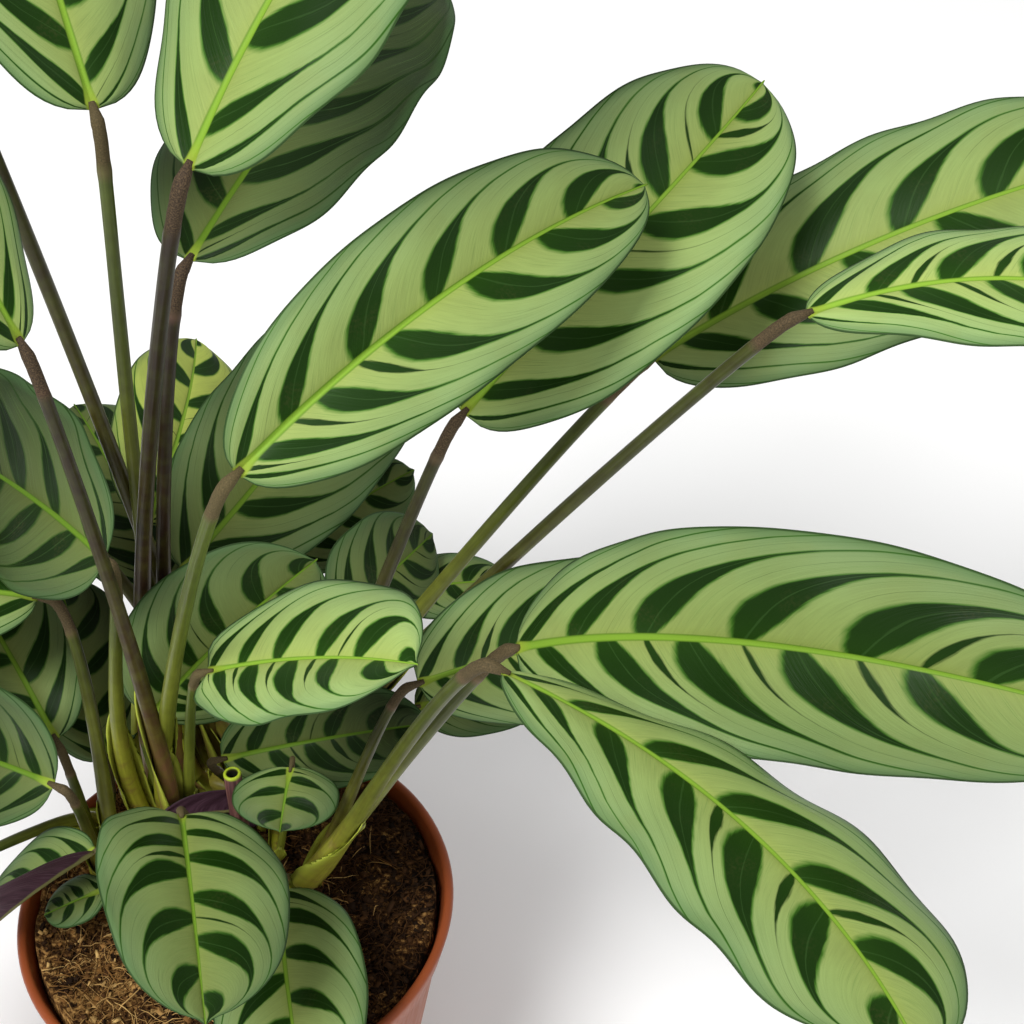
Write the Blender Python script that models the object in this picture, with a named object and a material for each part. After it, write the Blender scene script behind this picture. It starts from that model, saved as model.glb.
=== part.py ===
"""Potted ctenanthe: a prayer plant with striped leaves, in its plastic nursery pot.

The pot holds a plug of coir. The plant grows in several leafy shoots, and each shoot is one
solid: a short stem that stands in a hole in the coir, with its sheathed leaf stalks. Every
leaf blade is a solid of its own at the end of its stalk.

Lengths are in millimetres and angles in degrees until a point goes into a mesh.
The origin is the middle of the pot's foot, +Z is up, and -Y is the side that is looked at.
"""
import math
from dataclasses import dataclass

import bmesh
import bpy
from mathutils import Vector

MM = 0.001
GAP = 0.3

POT_HEIGHT = 110.0
POT_TOP_RADIUS = 70.0
POT_FOOT_RADIUS = 50.0
POT_WALL = 2.0
POT_FLOOR = 3.0
RIM_HEIGHT = 12.0
RIM_STEP = 1.6
RIM_LIP = 3.2
LIP_ROUND = 0.6
FOOT_BEVEL = 1.5
POT_SIDES = 40

SOIL_TOP = 106.5
SOIL_HUMP = 2.5
SOIL_RINGS = 5
STEM_FOOT = 86.0
STEM_TOP = 115.5
STEM_RADIUS = 7.0
STEM_SIDES = 12
ROOT_RING = 3.5
ROOT_DEPTH = 5.0

CUT_STALK_AT = (1.9, 11.0)
CUT_STALK_RADIUS = 2.8
CUT_STALK_TOP = 157.0
CUT_STALK_BORE = 1.7
CUT_STALK_BORE_DEPTH = 12.0

BLADE_THICKNESS = 0.8
BLADE_ROWS = 10
SMALL_BLADE = 80.0
SMALL_BLADE_ROWS = 7
BLADE_COLUMNS = 4
BLADE_NECK = 1.2
BLADE_TIP = 0.5
BLADE_ARCH = 0.30
EDGE_WAVE = 0.045
WAVE_LENGTH = 34.0

# A stalk is a wide sheath at its foot, then slim, and ends in a rough swollen joint. Its last
# stretch is straight, and its knee is a share of the blade's length.
SHEATH_RADIUS = 3.9
STALK_RADIUS = 1.8
JOINT_RADIUS = 1.9
STALK_END = 3.0
KNEE_SHARE = 0.09
STALK_ROUNDNESS = 1
# Share of the way up, and the radius there, under a blade of GIRTH_LENGTH. A longer blade has a
# thicker stalk.
STALK_PROFILE = (
    (0.0, 0.9 * SHEATH_RADIUS),
    (0.2, SHEATH_RADIUS),
    (0.4, 0.8 * SHEATH_RADIUS),
    (0.6, 1.15 * STALK_RADIUS),
    (0.8, STALK_RADIUS),
    (1.0, JOINT_RADIUS),
)
GIRTH_LENGTH = 130.0
GIRTH_POWER = 0.4

# Each outline: where the blade is widest, how full its base is, how full its tip is, and how
# far its halves fold up from the midrib.
OUTLINES = {
    "oblong": (0.46, 2.4, 2.4, 0.25),
    "cupped": (0.44, 2.4, 2.4, 0.55),
    "folded": (0.44, 2.4, 2.4, 1.10),
    "spoon": (0.53, 1.9, 2.8, 0.15),
    "slender": (0.47, 1.6, 2.4, 0.20),
    "round": (0.48, 2.5, 2.8, 0.45),
}

# Where each shoot's stem stands in the pot: x, y.
SHOOTS = {
    "shoot_left": (-44.0, 12.0),
    "shoot_main": (-26.0, 24.0),
    "shoot_back": (-14.0, 46.0),
    "shoot_right": (8.0, 34.0),
    "shoot_front": (20.0, 10.0),
    "shoot_low": (-9.0, 4.0),
}


@dataclass
class Leaf:
    """One leaf: the shoot it grows from, a point its stalk passes, and how its blade lies."""

    shoot: str
    way: tuple
    base: tuple
    heading: float
    pitch: float
    droop: float
    sweep: float
    roll: float
    twist: float
    length: float
    width: float
    outline: str = "oblong"


# way and base are x, y, z. heading turns from +X towards +Y, pitch lifts the blade, droop and
# sweep bend it down and sideways over its length, roll turns it about its midrib and twist
# changes the roll from base to tip.
LEAVES = {
    "leaf_top_left": Leaf(
        "shoot_back", (-23, 50, 230), (-14, 45, 364), 113, 33, 27, -5, -13, 0, 134, 59),
    "leaf_top_middle": Leaf(
        "shoot_main", (-20, 36, 226), (17, 0, 372), 42, 38, 33, -3, -8, 0, 158, 67),
    "leaf_top_behind": Leaf(
        "shoot_back", (-18, 47, 210), (3, 50, 318), 66, 12, 22, 3, -3, -5, 143, 65),
    "leaf_left_edge": Leaf(
        "shoot_main", (-20, 5, 222), (-29, 0, 325), 150, 56, 25, -5, -7, 3, 123, 46),
    "leaf_left_broad": Leaf(
        "shoot_main", (-30, 16, 190), (-24, 12, 245), 136, -8, 14, 10, 58, -2, 123, 60),
    "leaf_left_lower": Leaf(
        "shoot_left", (-50, 18, 128), (-56, 25, 157), 128, 22, 21, 4, 14, 0, 95, 46),
    "leaf_left_lowest": Leaf(
        "shoot_left", (-44, 2, 138), (-48, -5, 170), 160, -6, 18, 12, 48, 0, 85, 46),
    "leaf_behind_stalks": Leaf(
        "shoot_back", (-26, 66, 150), (-31, 84, 197), 88, 5, 20, 20, -28, 0, 96, 46),
    "leaf_dark_behind": Leaf(
        "shoot_back", (-15, 56, 150), (-16, 62, 196), 59, 15, 0, 7, -26, 0, 140, 63),
    "leaf_centre": Leaf(
        "shoot_main", (-9, 2, 206), (25, -30, 309), 40, 13, 38, 8, -48, 28, 134, 46, "cupped"),
    "leaf_upper_right": Leaf(
        "shoot_right", (41, 32, 190), (76, 30, 282), 42, 27, 30, 30, -27, -2, 131, 63, "cupped"),
    "leaf_far_right": Leaf(
        "shoot_right", (60, 54, 187), (131, 75, 269), 8, 20, 34, 8, -30, 6, 178, 64),
    "leaf_right_narrow": Leaf(
        "shoot_right", (75, 28, 214), (161, 10, 327), 5, -10, 54, -12, -9, -9, 128, 48, "slender"),
    "leaf_front_right": Leaf(
        "shoot_front", (50, -8, 172), (90, -12, 234), -30, 18, 46, 18, -56, -5, 175, 55),
    "leaf_front_hanging": Leaf(
        "shoot_front", (50, -22, 188), (87, -56, 270), -53, 2, -18, -54, 15, -26, 135, 53, "spoon"),
    "leaf_pale_small": Leaf(
        "shoot_main", (-12, 14, 156), (4, -5, 218), -26, 26, 4, -23, -11, 0, 75, 49, "round"),
    "leaf_dark_middle": Leaf(
        "shoot_main", (-26, 24, 138), (-24, 24, 169), 8, 46, 12, 0, -80, 8, 80, 53),
    "leaf_dark_front": Leaf(
        "shoot_right", (0, 28, 130), (-3, 21, 152), 0, 14, 8, 0, -62, 0, 68, 35),
    "leaf_spiky_small": Leaf(
        "shoot_right", (22, 50, 140), (32, 58, 177), 58, -3, 5, 6, -55, 0, 55, 42),
    "leaf_right_middle": Leaf(
        "shoot_front", (41, 2, 162), (62, 4, 204), 12, 7, 17, 0, -72, 0, 86, 51),
    "leaf_over_pot": Leaf(
        "shoot_low", (-10, 2, 135), (-10, -10, 162), -76, 4, 49, -4, 23, 7, 78, 54, "round"),
    "leaf_over_pot_right": Leaf(
        "shoot_front", (18, 0, 118), (16, -12, 128), -78, -3, 27, 4, -15, 0, 79, 47),
    "leaf_behind_lower": Leaf(
        "shoot_left", (-46, 30, 115), (-48, 44, 126), 112, 24, 20, 0, 10, 0, 70, 40),
    "leaf_tip_behind": Leaf(
        "shoot_back", (-8, 84, 130), (4, 112, 155), 35, 14, 20, 0, -30, 0, 61, 36),
    "leaf_under_right": Leaf(
        "shoot_right", (22, 70, 130), (46, 92, 158), 5, 4, 15, 0, -10, 0, 42, 28),
    "leaf_under_middle": Leaf(
        "shoot_right", (38, 40, 135), (58, 36, 160), 8, 6, 12, 0, -35, 0, 46, 27),
    "leaf_curled_left": Leaf(
        "shoot_left", (-38, -2, 128), (-37, -14, 150), 194, -36, 15, 0, -28, 0, 48, 26, "folded"),
    "leaf_low_left": Leaf(
        "shoot_left", (-41, 1, 118), (-39, -9, 125), 193, -20, 10, 0, 10, 0, 21, 17),
    "leaf_young_drooping": Leaf(
        "shoot_right", (17, 4, 138), (21, 8, 163), -95, -16, 20, 0, 0, 0, 21, 33),
    "leaf_purple_back": Leaf(
        "shoot_low", (-18, 3, 122), (-22, 6, 141), 25, -18, 0, 0, 100, 0, 42, 18),
    "leaf_tall_left": Leaf(
        "shoot_back", (-26, 52, 236), (-62, 50, 432), 166, 22, 34, 0, 6, 0, 142, 60),
    "leaf_thick_stalk": Leaf(
        "shoot_left", (-42, 21, 150), (-58, 45, 200), 186, 4, 24, 0, 12, 0, 140, 56),
    "leaf_out_back_left": Leaf(
        "shoot_back", (-34, 72, 168), (-104, 118, 244), 158, 18, 32, -6, 0, 0, 140, 58),
    "leaf_out_low_left": Leaf(
        "shoot_left", (-58, 11, 132), (-84, -20, 148), 214, 0, 34, 5, 12, 0, 92, 48),
    "leaf_out_low_back": Leaf(
        "shoot_back", (-22, 68, 135), (-30, 84, 165), 118, 12, 30, 5, 4, 0, 96, 50),
    "leaf_out_back_low": Leaf(
        "shoot_back", (-10, 66, 122), (-12, 84, 132), 112, 8, 30, -5, -6, 0, 90, 44),
}

COLOURS = {
    "pot plastic": ((0.37, 0.075, 0.030), 0.38),
    "coir": ((0.075, 0.038, 0.018), 0.95),
    "leaf green": ((0.20, 0.36, 0.13), 0.45),
    "stalk green": ((0.10, 0.11, 0.035), 0.40),
    "cut stalk": ((0.085, 0.040, 0.045), 0.50),
}


def clear_scene():
    for thing in list(bpy.data.objects):
        bpy.data.objects.remove(thing, do_unlink=True)


def material(name):
    """A plain Principled material from COLOURS, made once."""
    found = bpy.data.materials.get(name)
    if found:
        return found
    colour, roughness = COLOURS[name]
    made = bpy.data.materials.new(name)
    made.use_nodes = True
    shader = made.node_tree.nodes["Principled BSDF"]
    shader.inputs["Base Color"].default_value = (*colour, 1.0)
    shader.inputs["Roughness"].default_value = roughness
    shader.inputs["Metallic"].default_value = 0.0
    return made


def place(name, mesh, material_name):
    """Put a finished mesh into the scene as one named object."""
    thing = bpy.data.objects.new(name, mesh)
    bpy.context.scene.collection.objects.link(thing)
    mesh.materials.clear()
    mesh.materials.append(material(material_name))
    return thing


def face_out(bm):
    """Turn every face of a closed shape outwards."""
    bmesh.ops.recalc_face_normals(bm, faces=bm.faces)


def finish_mesh(bm, name):
    """Turn a bmesh in millimetres into a mesh in metres."""
    bmesh.ops.scale(bm, vec=(MM, MM, MM), verts=bm.verts)
    mesh = bpy.data.meshes.new(name)
    bm.to_mesh(mesh)
    bm.free()
    mesh.shade_smooth()
    mesh.set_sharp_from_angle(angle=math.radians(40))
    return mesh


def ring_of(bm, radius, height, sides, centre=(0.0, 0.0), start=0.0):
    """A ring of vertices round an upright axis."""
    ring = []
    for step in range(sides):
        angle = start + math.tau * step / sides
        x = centre[0] + radius * math.cos(angle)
        y = centre[1] + radius * math.sin(angle)
        ring.append(bm.verts.new((x, y, height)))
    return ring


def join_rings(bm, low, high):
    """Quads between two rings of the same count."""
    count = len(low)
    for step in range(count):
        after = (step + 1) % count
        bm.faces.new((low[step], low[after], high[after], high[step]))


def pot_radius(height, wall=0.0):
    """Radius of the pot's tapered wall at a height, less the wall's thickness."""
    taper = (POT_TOP_RADIUS - RIM_STEP - POT_FOOT_RADIUS) / POT_HEIGHT
    return POT_FOOT_RADIUS + taper * height - wall


def make_pot():
    """The flat floor, the thin tapered wall and the deep rim with its rounded lip."""
    rim_foot = POT_HEIGHT - RIM_HEIGHT
    bm = bmesh.new()
    profile = [
        (POT_FOOT_RADIUS - FOOT_BEVEL, 0.0),
        (pot_radius(FOOT_BEVEL), FOOT_BEVEL),
        (pot_radius(rim_foot), rim_foot),
        (pot_radius(rim_foot) + RIM_STEP, rim_foot + RIM_STEP),
        (POT_TOP_RADIUS, POT_HEIGHT - RIM_LIP / 2),
        (POT_TOP_RADIUS - LIP_ROUND, POT_HEIGHT - LIP_ROUND),
        (POT_TOP_RADIUS - RIM_LIP / 2, POT_HEIGHT),
        (POT_TOP_RADIUS - RIM_LIP + LIP_ROUND, POT_HEIGHT - LIP_ROUND),
        (POT_TOP_RADIUS - RIM_LIP, POT_HEIGHT - RIM_LIP / 2),
        (pot_radius(rim_foot, POT_WALL), rim_foot),
        (pot_radius(POT_FLOOR, POT_WALL), POT_FLOOR),
    ]
    rings = [ring_of(bm, radius, height, POT_SIDES) for radius, height in profile]
    for low, high in zip(rings, rings[1:]):
        join_rings(bm, low, high)
    bm.faces.new(rings[0])
    bm.faces.new(rings[-1])
    face_out(bm)
    return place("pot", finish_mesh(bm, "pot"), "pot plastic")


def soil_height(x, y):
    """The coir's uneven top: low humps, flat where the stems stand."""
    hump = math.sin(x * 0.11 + 0.6) * math.cos(y * 0.13) + 0.5 * math.sin(x * 0.23 - y * 0.19)
    return SOIL_TOP + SOIL_HUMP * 0.5 * hump


def make_soil():
    """The plug of coir, clear of the pot by GAP, with a plain hole for every stem."""
    bm = bmesh.new()
    bottom = POT_FLOOR + GAP
    low = ring_of(bm, pot_radius(bottom, POT_WALL + GAP), bottom, POT_SIDES)
    top_radius = pot_radius(SOIL_TOP - RIM_HEIGHT / 2, POT_WALL + GAP)
    rim_foot = POT_HEIGHT - RIM_HEIGHT
    shoulder = rim_foot - SOIL_HUMP
    bend = ring_of(bm, pot_radius(shoulder, POT_WALL + GAP), shoulder, POT_SIDES)
    join_rings(bm, low, bend)
    bm.faces.new(low)
    last = bend
    for step in range(SOIL_RINGS):
        share = 1.0 - step / SOIL_RINGS
        ring = ring_of(bm, top_radius * share, SOIL_TOP, POT_SIDES)
        for vert in ring:
            vert.co.z = soil_height(vert.co.x, vert.co.y)
        join_rings(bm, last, ring)
        last = ring
    bm.faces.new(last)
    face_out(bm)
    soil = place("soil", finish_mesh(bm, "soil"), "coir")
    for centre in list(SHOOTS.values()) + [CUT_STALK_AT]:
        radius = STEM_RADIUS if centre in SHOOTS.values() else CUT_STALK_RADIUS
        cut_hole(soil, centre, radius + GAP)
    return soil


def cut_hole(soil, centre, radius):
    """Cut one round hole down to a little below the stem's foot."""
    cutter_mesh = upright_rod(centre, radius, STEM_FOOT - GAP, SOIL_TOP + 3 * SOIL_HUMP)
    cutter = bpy.data.objects.new("hole cutter", finish_mesh(cutter_mesh, "hole cutter"))
    bpy.context.scene.collection.objects.link(cutter)
    boolean = soil.modifiers.new("hole", "BOOLEAN")
    boolean.operation = "DIFFERENCE"
    boolean.solver = "EXACT"
    boolean.object = cutter
    bake(soil)
    bpy.data.objects.remove(cutter, do_unlink=True)


def bake(thing):
    """Apply an object's modifiers to its mesh."""
    bpy.context.view_layer.update()
    graph = bpy.context.evaluated_depsgraph_get()
    mesh = bpy.data.meshes.new_from_object(thing.evaluated_get(graph))
    thing.modifiers.clear()
    thing.data = mesh


def upright_rod(centre, radius, low, high):
    bm = bmesh.new()
    bottom = ring_of(bm, radius, low, STEM_SIDES, centre)
    top = ring_of(bm, radius, high, STEM_SIDES, centre)
    join_rings(bm, bottom, top)
    bm.faces.new(bottom)
    bm.faces.new(top)
    face_out(bm)
    return bm


def midrib_direction(leaf, share):
    """Which way the midrib runs at a share of the blade's length."""
    pitch = math.radians(leaf.pitch + leaf.droop * (0.5 - share))
    heading = math.radians(leaf.heading + leaf.sweep * (share - 0.5))
    flat = math.cos(pitch)
    return Vector((flat * math.cos(heading), flat * math.sin(heading), math.sin(pitch)))


def blade_sides(leaf, share):
    """Unit vectors to the blade's right and out of its upper face."""
    along = midrib_direction(leaf, share)
    heading = math.radians(leaf.heading + leaf.sweep * (share - 0.5))
    level = Vector((math.sin(heading), -math.cos(heading), 0.0))
    upward = level.cross(along)
    roll = math.radians(leaf.roll + leaf.twist * (share - 0.5))
    right = level * math.cos(roll) + upward * math.sin(roll)
    out = upward * math.cos(roll) - level * math.sin(roll)
    return right, out


def midrib_point(leaf, share, steps=24):
    """Walk along the bent midrib from the blade's base."""
    point = Vector(leaf.base)
    for step in range(steps):
        point += midrib_direction(leaf, share * (step + 0.5) / steps) * (leaf.length * share / steps)
    return point


def half_width(leaf, share):
    """Half of the blade's width at a share of its length."""
    widest, base_fullness, tip_fullness, _ = OUTLINES[leaf.outline]
    if share < widest:
        shape = (1.0 - (1.0 - share / widest) ** base_fullness) ** 0.55
        least = BLADE_NECK
    else:
        shape = max(0.0, 1.0 - ((share - widest) / (1.0 - widest)) ** tip_fullness) ** 0.6
        least = BLADE_TIP
    return max(leaf.width / 2 * shape, least)


def blade_point(leaf, share, across, depth, phase):
    """A point of the blade. across runs from -1 at the left edge to 1 at the right, and depth
    from 0 on the upper face to 1 on the lower one."""
    right, out = blade_sides(leaf, share)
    half = half_width(leaf, share)
    fold = OUTLINES[leaf.outline][3]
    lift = fold * abs(across) - BLADE_ARCH * across * across
    turns = share * leaf.length / WAVE_LENGTH + phase + 0.25 * across
    lift += EDGE_WAVE * across * across * math.sin(math.tau * turns)
    height = half * lift - depth * BLADE_THICKNESS
    return midrib_point(leaf, share) + right * (half * across) + out * height


def make_blade(name, leaf, phase):
    """A thin waved blade: a slab of triangles, alike on both faces, bent to the leaf's shape."""
    rows = SMALL_BLADE_ROWS if leaf.length < SMALL_BLADE else BLADE_ROWS
    bm = bmesh.new()
    bmesh.ops.create_grid(bm, x_segments=rows, y_segments=BLADE_COLUMNS, size=0.5)
    bmesh.ops.triangulate(bm, faces=bm.faces)
    lower = bmesh.ops.extrude_face_region(bm, geom=bm.faces)
    lower_verts = [item for item in lower["geom"] if isinstance(item, bmesh.types.BMVert)]
    bmesh.ops.translate(bm, vec=(0.0, 0.0, -1.0), verts=lower_verts)
    face_out(bm)
    for vert in bm.verts:
        vert.co = blade_point(leaf, vert.co.x + 0.5, -2.0 * vert.co.y, -vert.co.z, phase)
    return place(name, finish_mesh(bm, name), "leaf green")


def stalk_points(leaf, root):
    """Points and radii down a stalk that leaves its shoot, passes its way point and turns in
    line with the blade."""
    along = midrib_direction(leaf, 0.0)
    tip = Vector(leaf.base) - along * GAP
    end = tip - along * STALK_END
    knee = end - along * (KNEE_SHARE * leaf.length)
    start = Vector(root)
    lean = (8 * Vector(leaf.way) - start - 3 * knee - end) / 3
    girth = (leaf.length / GIRTH_LENGTH) ** GIRTH_POWER
    points = []
    for share, radius in STALK_PROFILE:
        rest = 1.0 - share
        point = start * rest**3 + lean * (3 * rest**2 * share)
        point += knee * (3 * rest * share**2) + end * share**3
        points.append((point, girth * radius))
    points.append((tip, 0.8 * girth * JOINT_RADIUS))
    return points


def tube(name, points):
    """A round tube through points with a radius at each, as a closed mesh in metres."""
    curve = bpy.data.curves.new(name, "CURVE")
    curve.dimensions = "3D"
    curve.bevel_depth = MM
    curve.bevel_resolution = STALK_ROUNDNESS
    curve.use_fill_caps = True
    spline = curve.splines.new("POLY")
    spline.points.add(len(points) - 1)
    for knot, (point, radius) in zip(spline.points, points):
        knot.co = (*(point * MM), 1.0)
        knot.radius = radius
    guide = bpy.data.objects.new(name, curve)
    bpy.context.scene.collection.objects.link(guide)
    bpy.context.view_layer.update()
    graph = bpy.context.evaluated_depsgraph_get()
    mesh = bpy.data.meshes.new_from_object(guide.evaluated_get(graph))
    bpy.data.objects.remove(guide, do_unlink=True)
    bm = bmesh.new()
    bm.from_mesh(mesh)
    bmesh.ops.remove_doubles(bm, verts=bm.verts, dist=1e-6)
    face_out(bm)
    bm.to_mesh(mesh)
    bm.free()
    return mesh


def make_shoot(name):
    """A short stem with all the stalks that grow from it, joined into one solid."""
    centre = SHOOTS[name]
    stem = place(
        name, finish_mesh(upright_rod(centre, STEM_RADIUS, STEM_FOOT, STEM_TOP), name),
        "stalk green")
    stalks = bpy.data.collections.new(name + " stalks")
    bpy.context.scene.collection.children.link(stalks)
    for leaf_name, leaf in LEAVES.items():
        if leaf.shoot != name:
            continue
        aim = Vector((leaf.way[0] - centre[0], leaf.way[1] - centre[1]))
        if aim.length > 0:
            aim.normalize()
        root = (centre[0] + ROOT_RING * aim.x, centre[1] + ROOT_RING * aim.y, STEM_TOP - ROOT_DEPTH)
        stalk = bpy.data.objects.new(leaf_name + " stalk", tube(leaf_name, stalk_points(leaf, root)))
        stalks.objects.link(stalk)
    union = stem.modifiers.new("stalks", "BOOLEAN")
    union.operation = "UNION"
    union.solver = "EXACT"
    union.operand_type = "COLLECTION"
    union.collection = stalks
    bake(stem)
    stem.data.materials.clear()
    stem.data.materials.append(material("stalk green"))
    for stalk in list(stalks.objects):
        bpy.data.objects.remove(stalk, do_unlink=True)
    bpy.data.collections.remove(stalks)
    return stem


def make_cut_stalk():
    """The stub of a stalk that was cut off square, hollow at its top."""
    bm = bmesh.new()
    steps = [
        (CUT_STALK_RADIUS, STEM_FOOT),
        (CUT_STALK_RADIUS, CUT_STALK_TOP),
        (CUT_STALK_BORE, CUT_STALK_TOP),
        (CUT_STALK_BORE, CUT_STALK_TOP - CUT_STALK_BORE_DEPTH),
    ]
    rings = [ring_of(bm, radius, height, STEM_SIDES, CUT_STALK_AT) for radius, height in steps]
    for low, high in zip(rings, rings[1:]):
        join_rings(bm, low, high)
    bm.faces.new(rings[0])
    bm.faces.new(rings[-1])
    face_out(bm)
    return place("cut_stalk", finish_mesh(bm, "cut_stalk"), "cut stalk")


clear_scene()
make_pot()
make_soil()
for shoot_name in SHOOTS:
    make_shoot(shoot_name)
for number, (leaf_name, leaf) in enumerate(LEAVES.items()):
    make_blade(leaf_name, leaf, phase=0.37 * number)
make_cut_stalk()
print("made", len(bpy.data.objects), "objects")
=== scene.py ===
# %% [markdown]
# # Potted ctenanthe
#
# A prayer plant with striped leaves, in a round nursery pot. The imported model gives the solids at
# their real size, and this lesson dresses them: finer blades with their veins and stripes, round
# stalks with sheaths and swollen joints, loose coir, and the moulded pot.
#
# Blender works in metres. Plants are easier to think of in millimetres, so every size below is in
# millimetres, and a point is scaled once, when its mesh is finished.

# %% Load the frame
import math
import random
from dataclasses import dataclass
from functools import lru_cache

import bmesh
import bpy
from mathutils import Euler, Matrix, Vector, noise


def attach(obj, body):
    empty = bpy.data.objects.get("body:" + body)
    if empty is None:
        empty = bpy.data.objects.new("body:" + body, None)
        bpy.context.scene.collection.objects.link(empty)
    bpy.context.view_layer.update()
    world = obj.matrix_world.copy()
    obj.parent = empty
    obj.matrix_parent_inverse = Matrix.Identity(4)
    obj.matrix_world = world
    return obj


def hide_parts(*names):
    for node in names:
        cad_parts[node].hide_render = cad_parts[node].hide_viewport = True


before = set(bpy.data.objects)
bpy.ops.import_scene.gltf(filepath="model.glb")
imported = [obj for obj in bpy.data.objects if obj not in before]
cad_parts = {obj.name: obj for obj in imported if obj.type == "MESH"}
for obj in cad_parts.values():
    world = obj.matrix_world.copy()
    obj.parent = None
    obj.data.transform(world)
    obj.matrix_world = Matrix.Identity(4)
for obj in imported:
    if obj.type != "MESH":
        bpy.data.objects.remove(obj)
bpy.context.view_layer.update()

print("nodes in the frame:", len(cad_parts))

# %% [markdown]
# ## Helpers for materials
#
# Colours are read off real things as sRGB hex values, but Blender mixes light in linear values,
# so one function turns one into the other.
#
# Nodes could be added by hand in the Shader Editor. In a script, one function that makes a node,
# sets its properties and joins its inputs keeps a long material readable: a number goes on the
# socket, and a socket is linked to it. An input is named by its title, or by its number. Four short
# functions stand for the nodes that are used most: one for sums, one that turns a range into
# another, one that mixes two colours, and one that reads a value kept at a mesh's points.

# %% Colour and node helpers
def linear(hex_code, alpha=1.0):
    """A colour for a node's socket from an sRGB hex value."""
    parts = [int(hex_code[i:i + 2], 16) / 255 for i in (1, 3, 5)]
    return (*[c / 12.92 if c <= 0.04045 else ((c + 0.055) / 1.055) ** 2.4 for c in parts], alpha)


def add(tree, kind, inputs=None, out=0, stops=(), **settings):
    """Add one node with its properties, inputs and ramp stops, and return one of its outputs."""
    node = tree.nodes.new("ShaderNode" + kind)
    for key, value in settings.items():
        setattr(node, key, value)
    for socket, value in (inputs or {}).items():
        if isinstance(value, bpy.types.NodeSocket):
            tree.links.new(value, node.inputs[socket])
        else:
            node.inputs[socket].default_value = value
    for number, (position, shade) in enumerate(stops):
        if number == 0:
            node.color_ramp.elements.remove(node.color_ramp.elements[1])
            element = node.color_ramp.elements[0]
            element.position = position
        else:
            element = node.color_ramp.elements.new(position)
        element.color = linear(shade) if isinstance(shade, str) else (shade, shade, shade, 1.0)
    return node.outputs[out]


def calc(tree, operation, *values, **settings):
    """Work out something from one, two or three numbers with a Math node."""
    return add(tree, "Math", dict(enumerate(values)), operation=operation, **settings)


def remap(tree, value, low, high, to_low=0.0, to_high=1.0, **settings):
    """Turn the range from low to high into the one from to_low to to_high."""
    return add(tree, "MapRange", {0: value, 1: low, 2: high, 3: to_low, 4: to_high}, **settings)


def blend(tree, factor, first, second, **settings):
    """Mix two colours: the first one at a factor of 0, the second one at 1."""
    return add(tree, "Mix", {0: factor, 6: first, 7: second}, out=2, data_type="RGBA", **settings)


def noted(tree, name):
    """Read a value that a mesh keeps at its points."""
    return add(tree, "Attribute", attribute_name=name, out=2)


def new_material(name, roughness, shine=0.5):
    """A Principled material with an even roughness and specular level to start from."""
    material = bpy.data.materials.new(name)
    material.use_nodes = True
    shader = material.node_tree.nodes["Principled BSDF"]
    shader.inputs["Roughness"].default_value = roughness
    shader.inputs["IOR"].default_value = 1.45
    shader.inputs["Specular IOR Level"].default_value = shine
    return material, material.node_tree, shader


def wire(tree, shader, sources):
    """Link outputs to a shader's inputs, each by the input's title."""
    for title, source in sources.items():
        tree.links.new(source, shader.inputs[title])


print("mid grey in linear light:", round(linear("#808080")[0], 3))

# %% [markdown]
# ## From a flat grid to a piece
#
# Nearly every piece here starts as a flat grid that is bent into shape. One function makes the grid
# and says where each of its points lies on it, so that a rule can move the point.
#
# A finished piece rides on the one body of this plant, stands for the solids it replaces, and
# takes its finish from the materials made here. Its object stays at the origin, and its place is in
# its mesh.

# %% Start and finish of a piece
MM = 0.001


def flat_grid(bm, rows, columns):
    """Add a flat grid to a bmesh, and give each point's place on it, from 0 to 1 both ways."""
    made = bmesh.ops.create_grid(bm, x_segments=rows, y_segments=columns, size=0.5)["verts"]
    return {vert: (vert.co.x + 0.5, vert.co.y + 0.5) for vert in made}


def finish_piece(bm, name, materials, replaced=()):
    """Turn a bmesh in millimetres into a piece that rides on the plant."""
    bmesh.ops.scale(bm, vec=(MM, MM, MM), verts=bm.verts)
    mesh = bpy.data.meshes.new(name)
    bm.to_mesh(mesh)
    bm.free()
    for material in materials:
        mesh.materials.append(material)
    mesh.shade_smooth()
    piece = bpy.data.objects.new(name, mesh)
    bpy.context.scene.collection.objects.link(piece)
    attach(piece, "root")
    if replaced:
        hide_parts(*replaced)
    return piece


# %% [markdown]
# ## The leaves, as data
#
# A leaf is described the way a botanist would: where its blade starts, which way it points, how it
# droops, how it is turned about its midrib, and how long and wide it is. The same numbers shape
# the solids of the frame, so each fine blade lies where its solid is.
#
# Two numbers more are for looks. The leaf's age runs from 0, a pale young leaf, to 1, a dark old
# one, and is -1 for a leaf that has just opened and is still yellow. It is also set higher for a leaf
# that lies in shade, so part of its darkness is painted shade. `brown` says how brown its stalk is.

# %% Leaf data
@dataclass(frozen=True)
class Leaf:
    """One leaf: its shoot, a point its stalk passes, its blade's base and lie, and its looks."""

    shoot: str
    way: tuple
    base: tuple
    heading: float
    pitch: float
    droop: float
    sweep: float
    roll: float
    twist: float
    length: float
    width: float
    outline: str = "oblong"
    age_and_shade: float = 0.4
    brown: float = 0.5


# Where each shoot comes out of the coir, in millimetres right of the pot's middle and behind it.
SHOOTS = {
    "shoot_left": (-44.0, 12.0),
    "shoot_main": (-26.0, 24.0),
    "shoot_back": (-14.0, 46.0),
    "shoot_right": (8.0, 34.0),
    "shoot_front": (20.0, 10.0),
    "shoot_low": (-9.0, 4.0),
}

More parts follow.
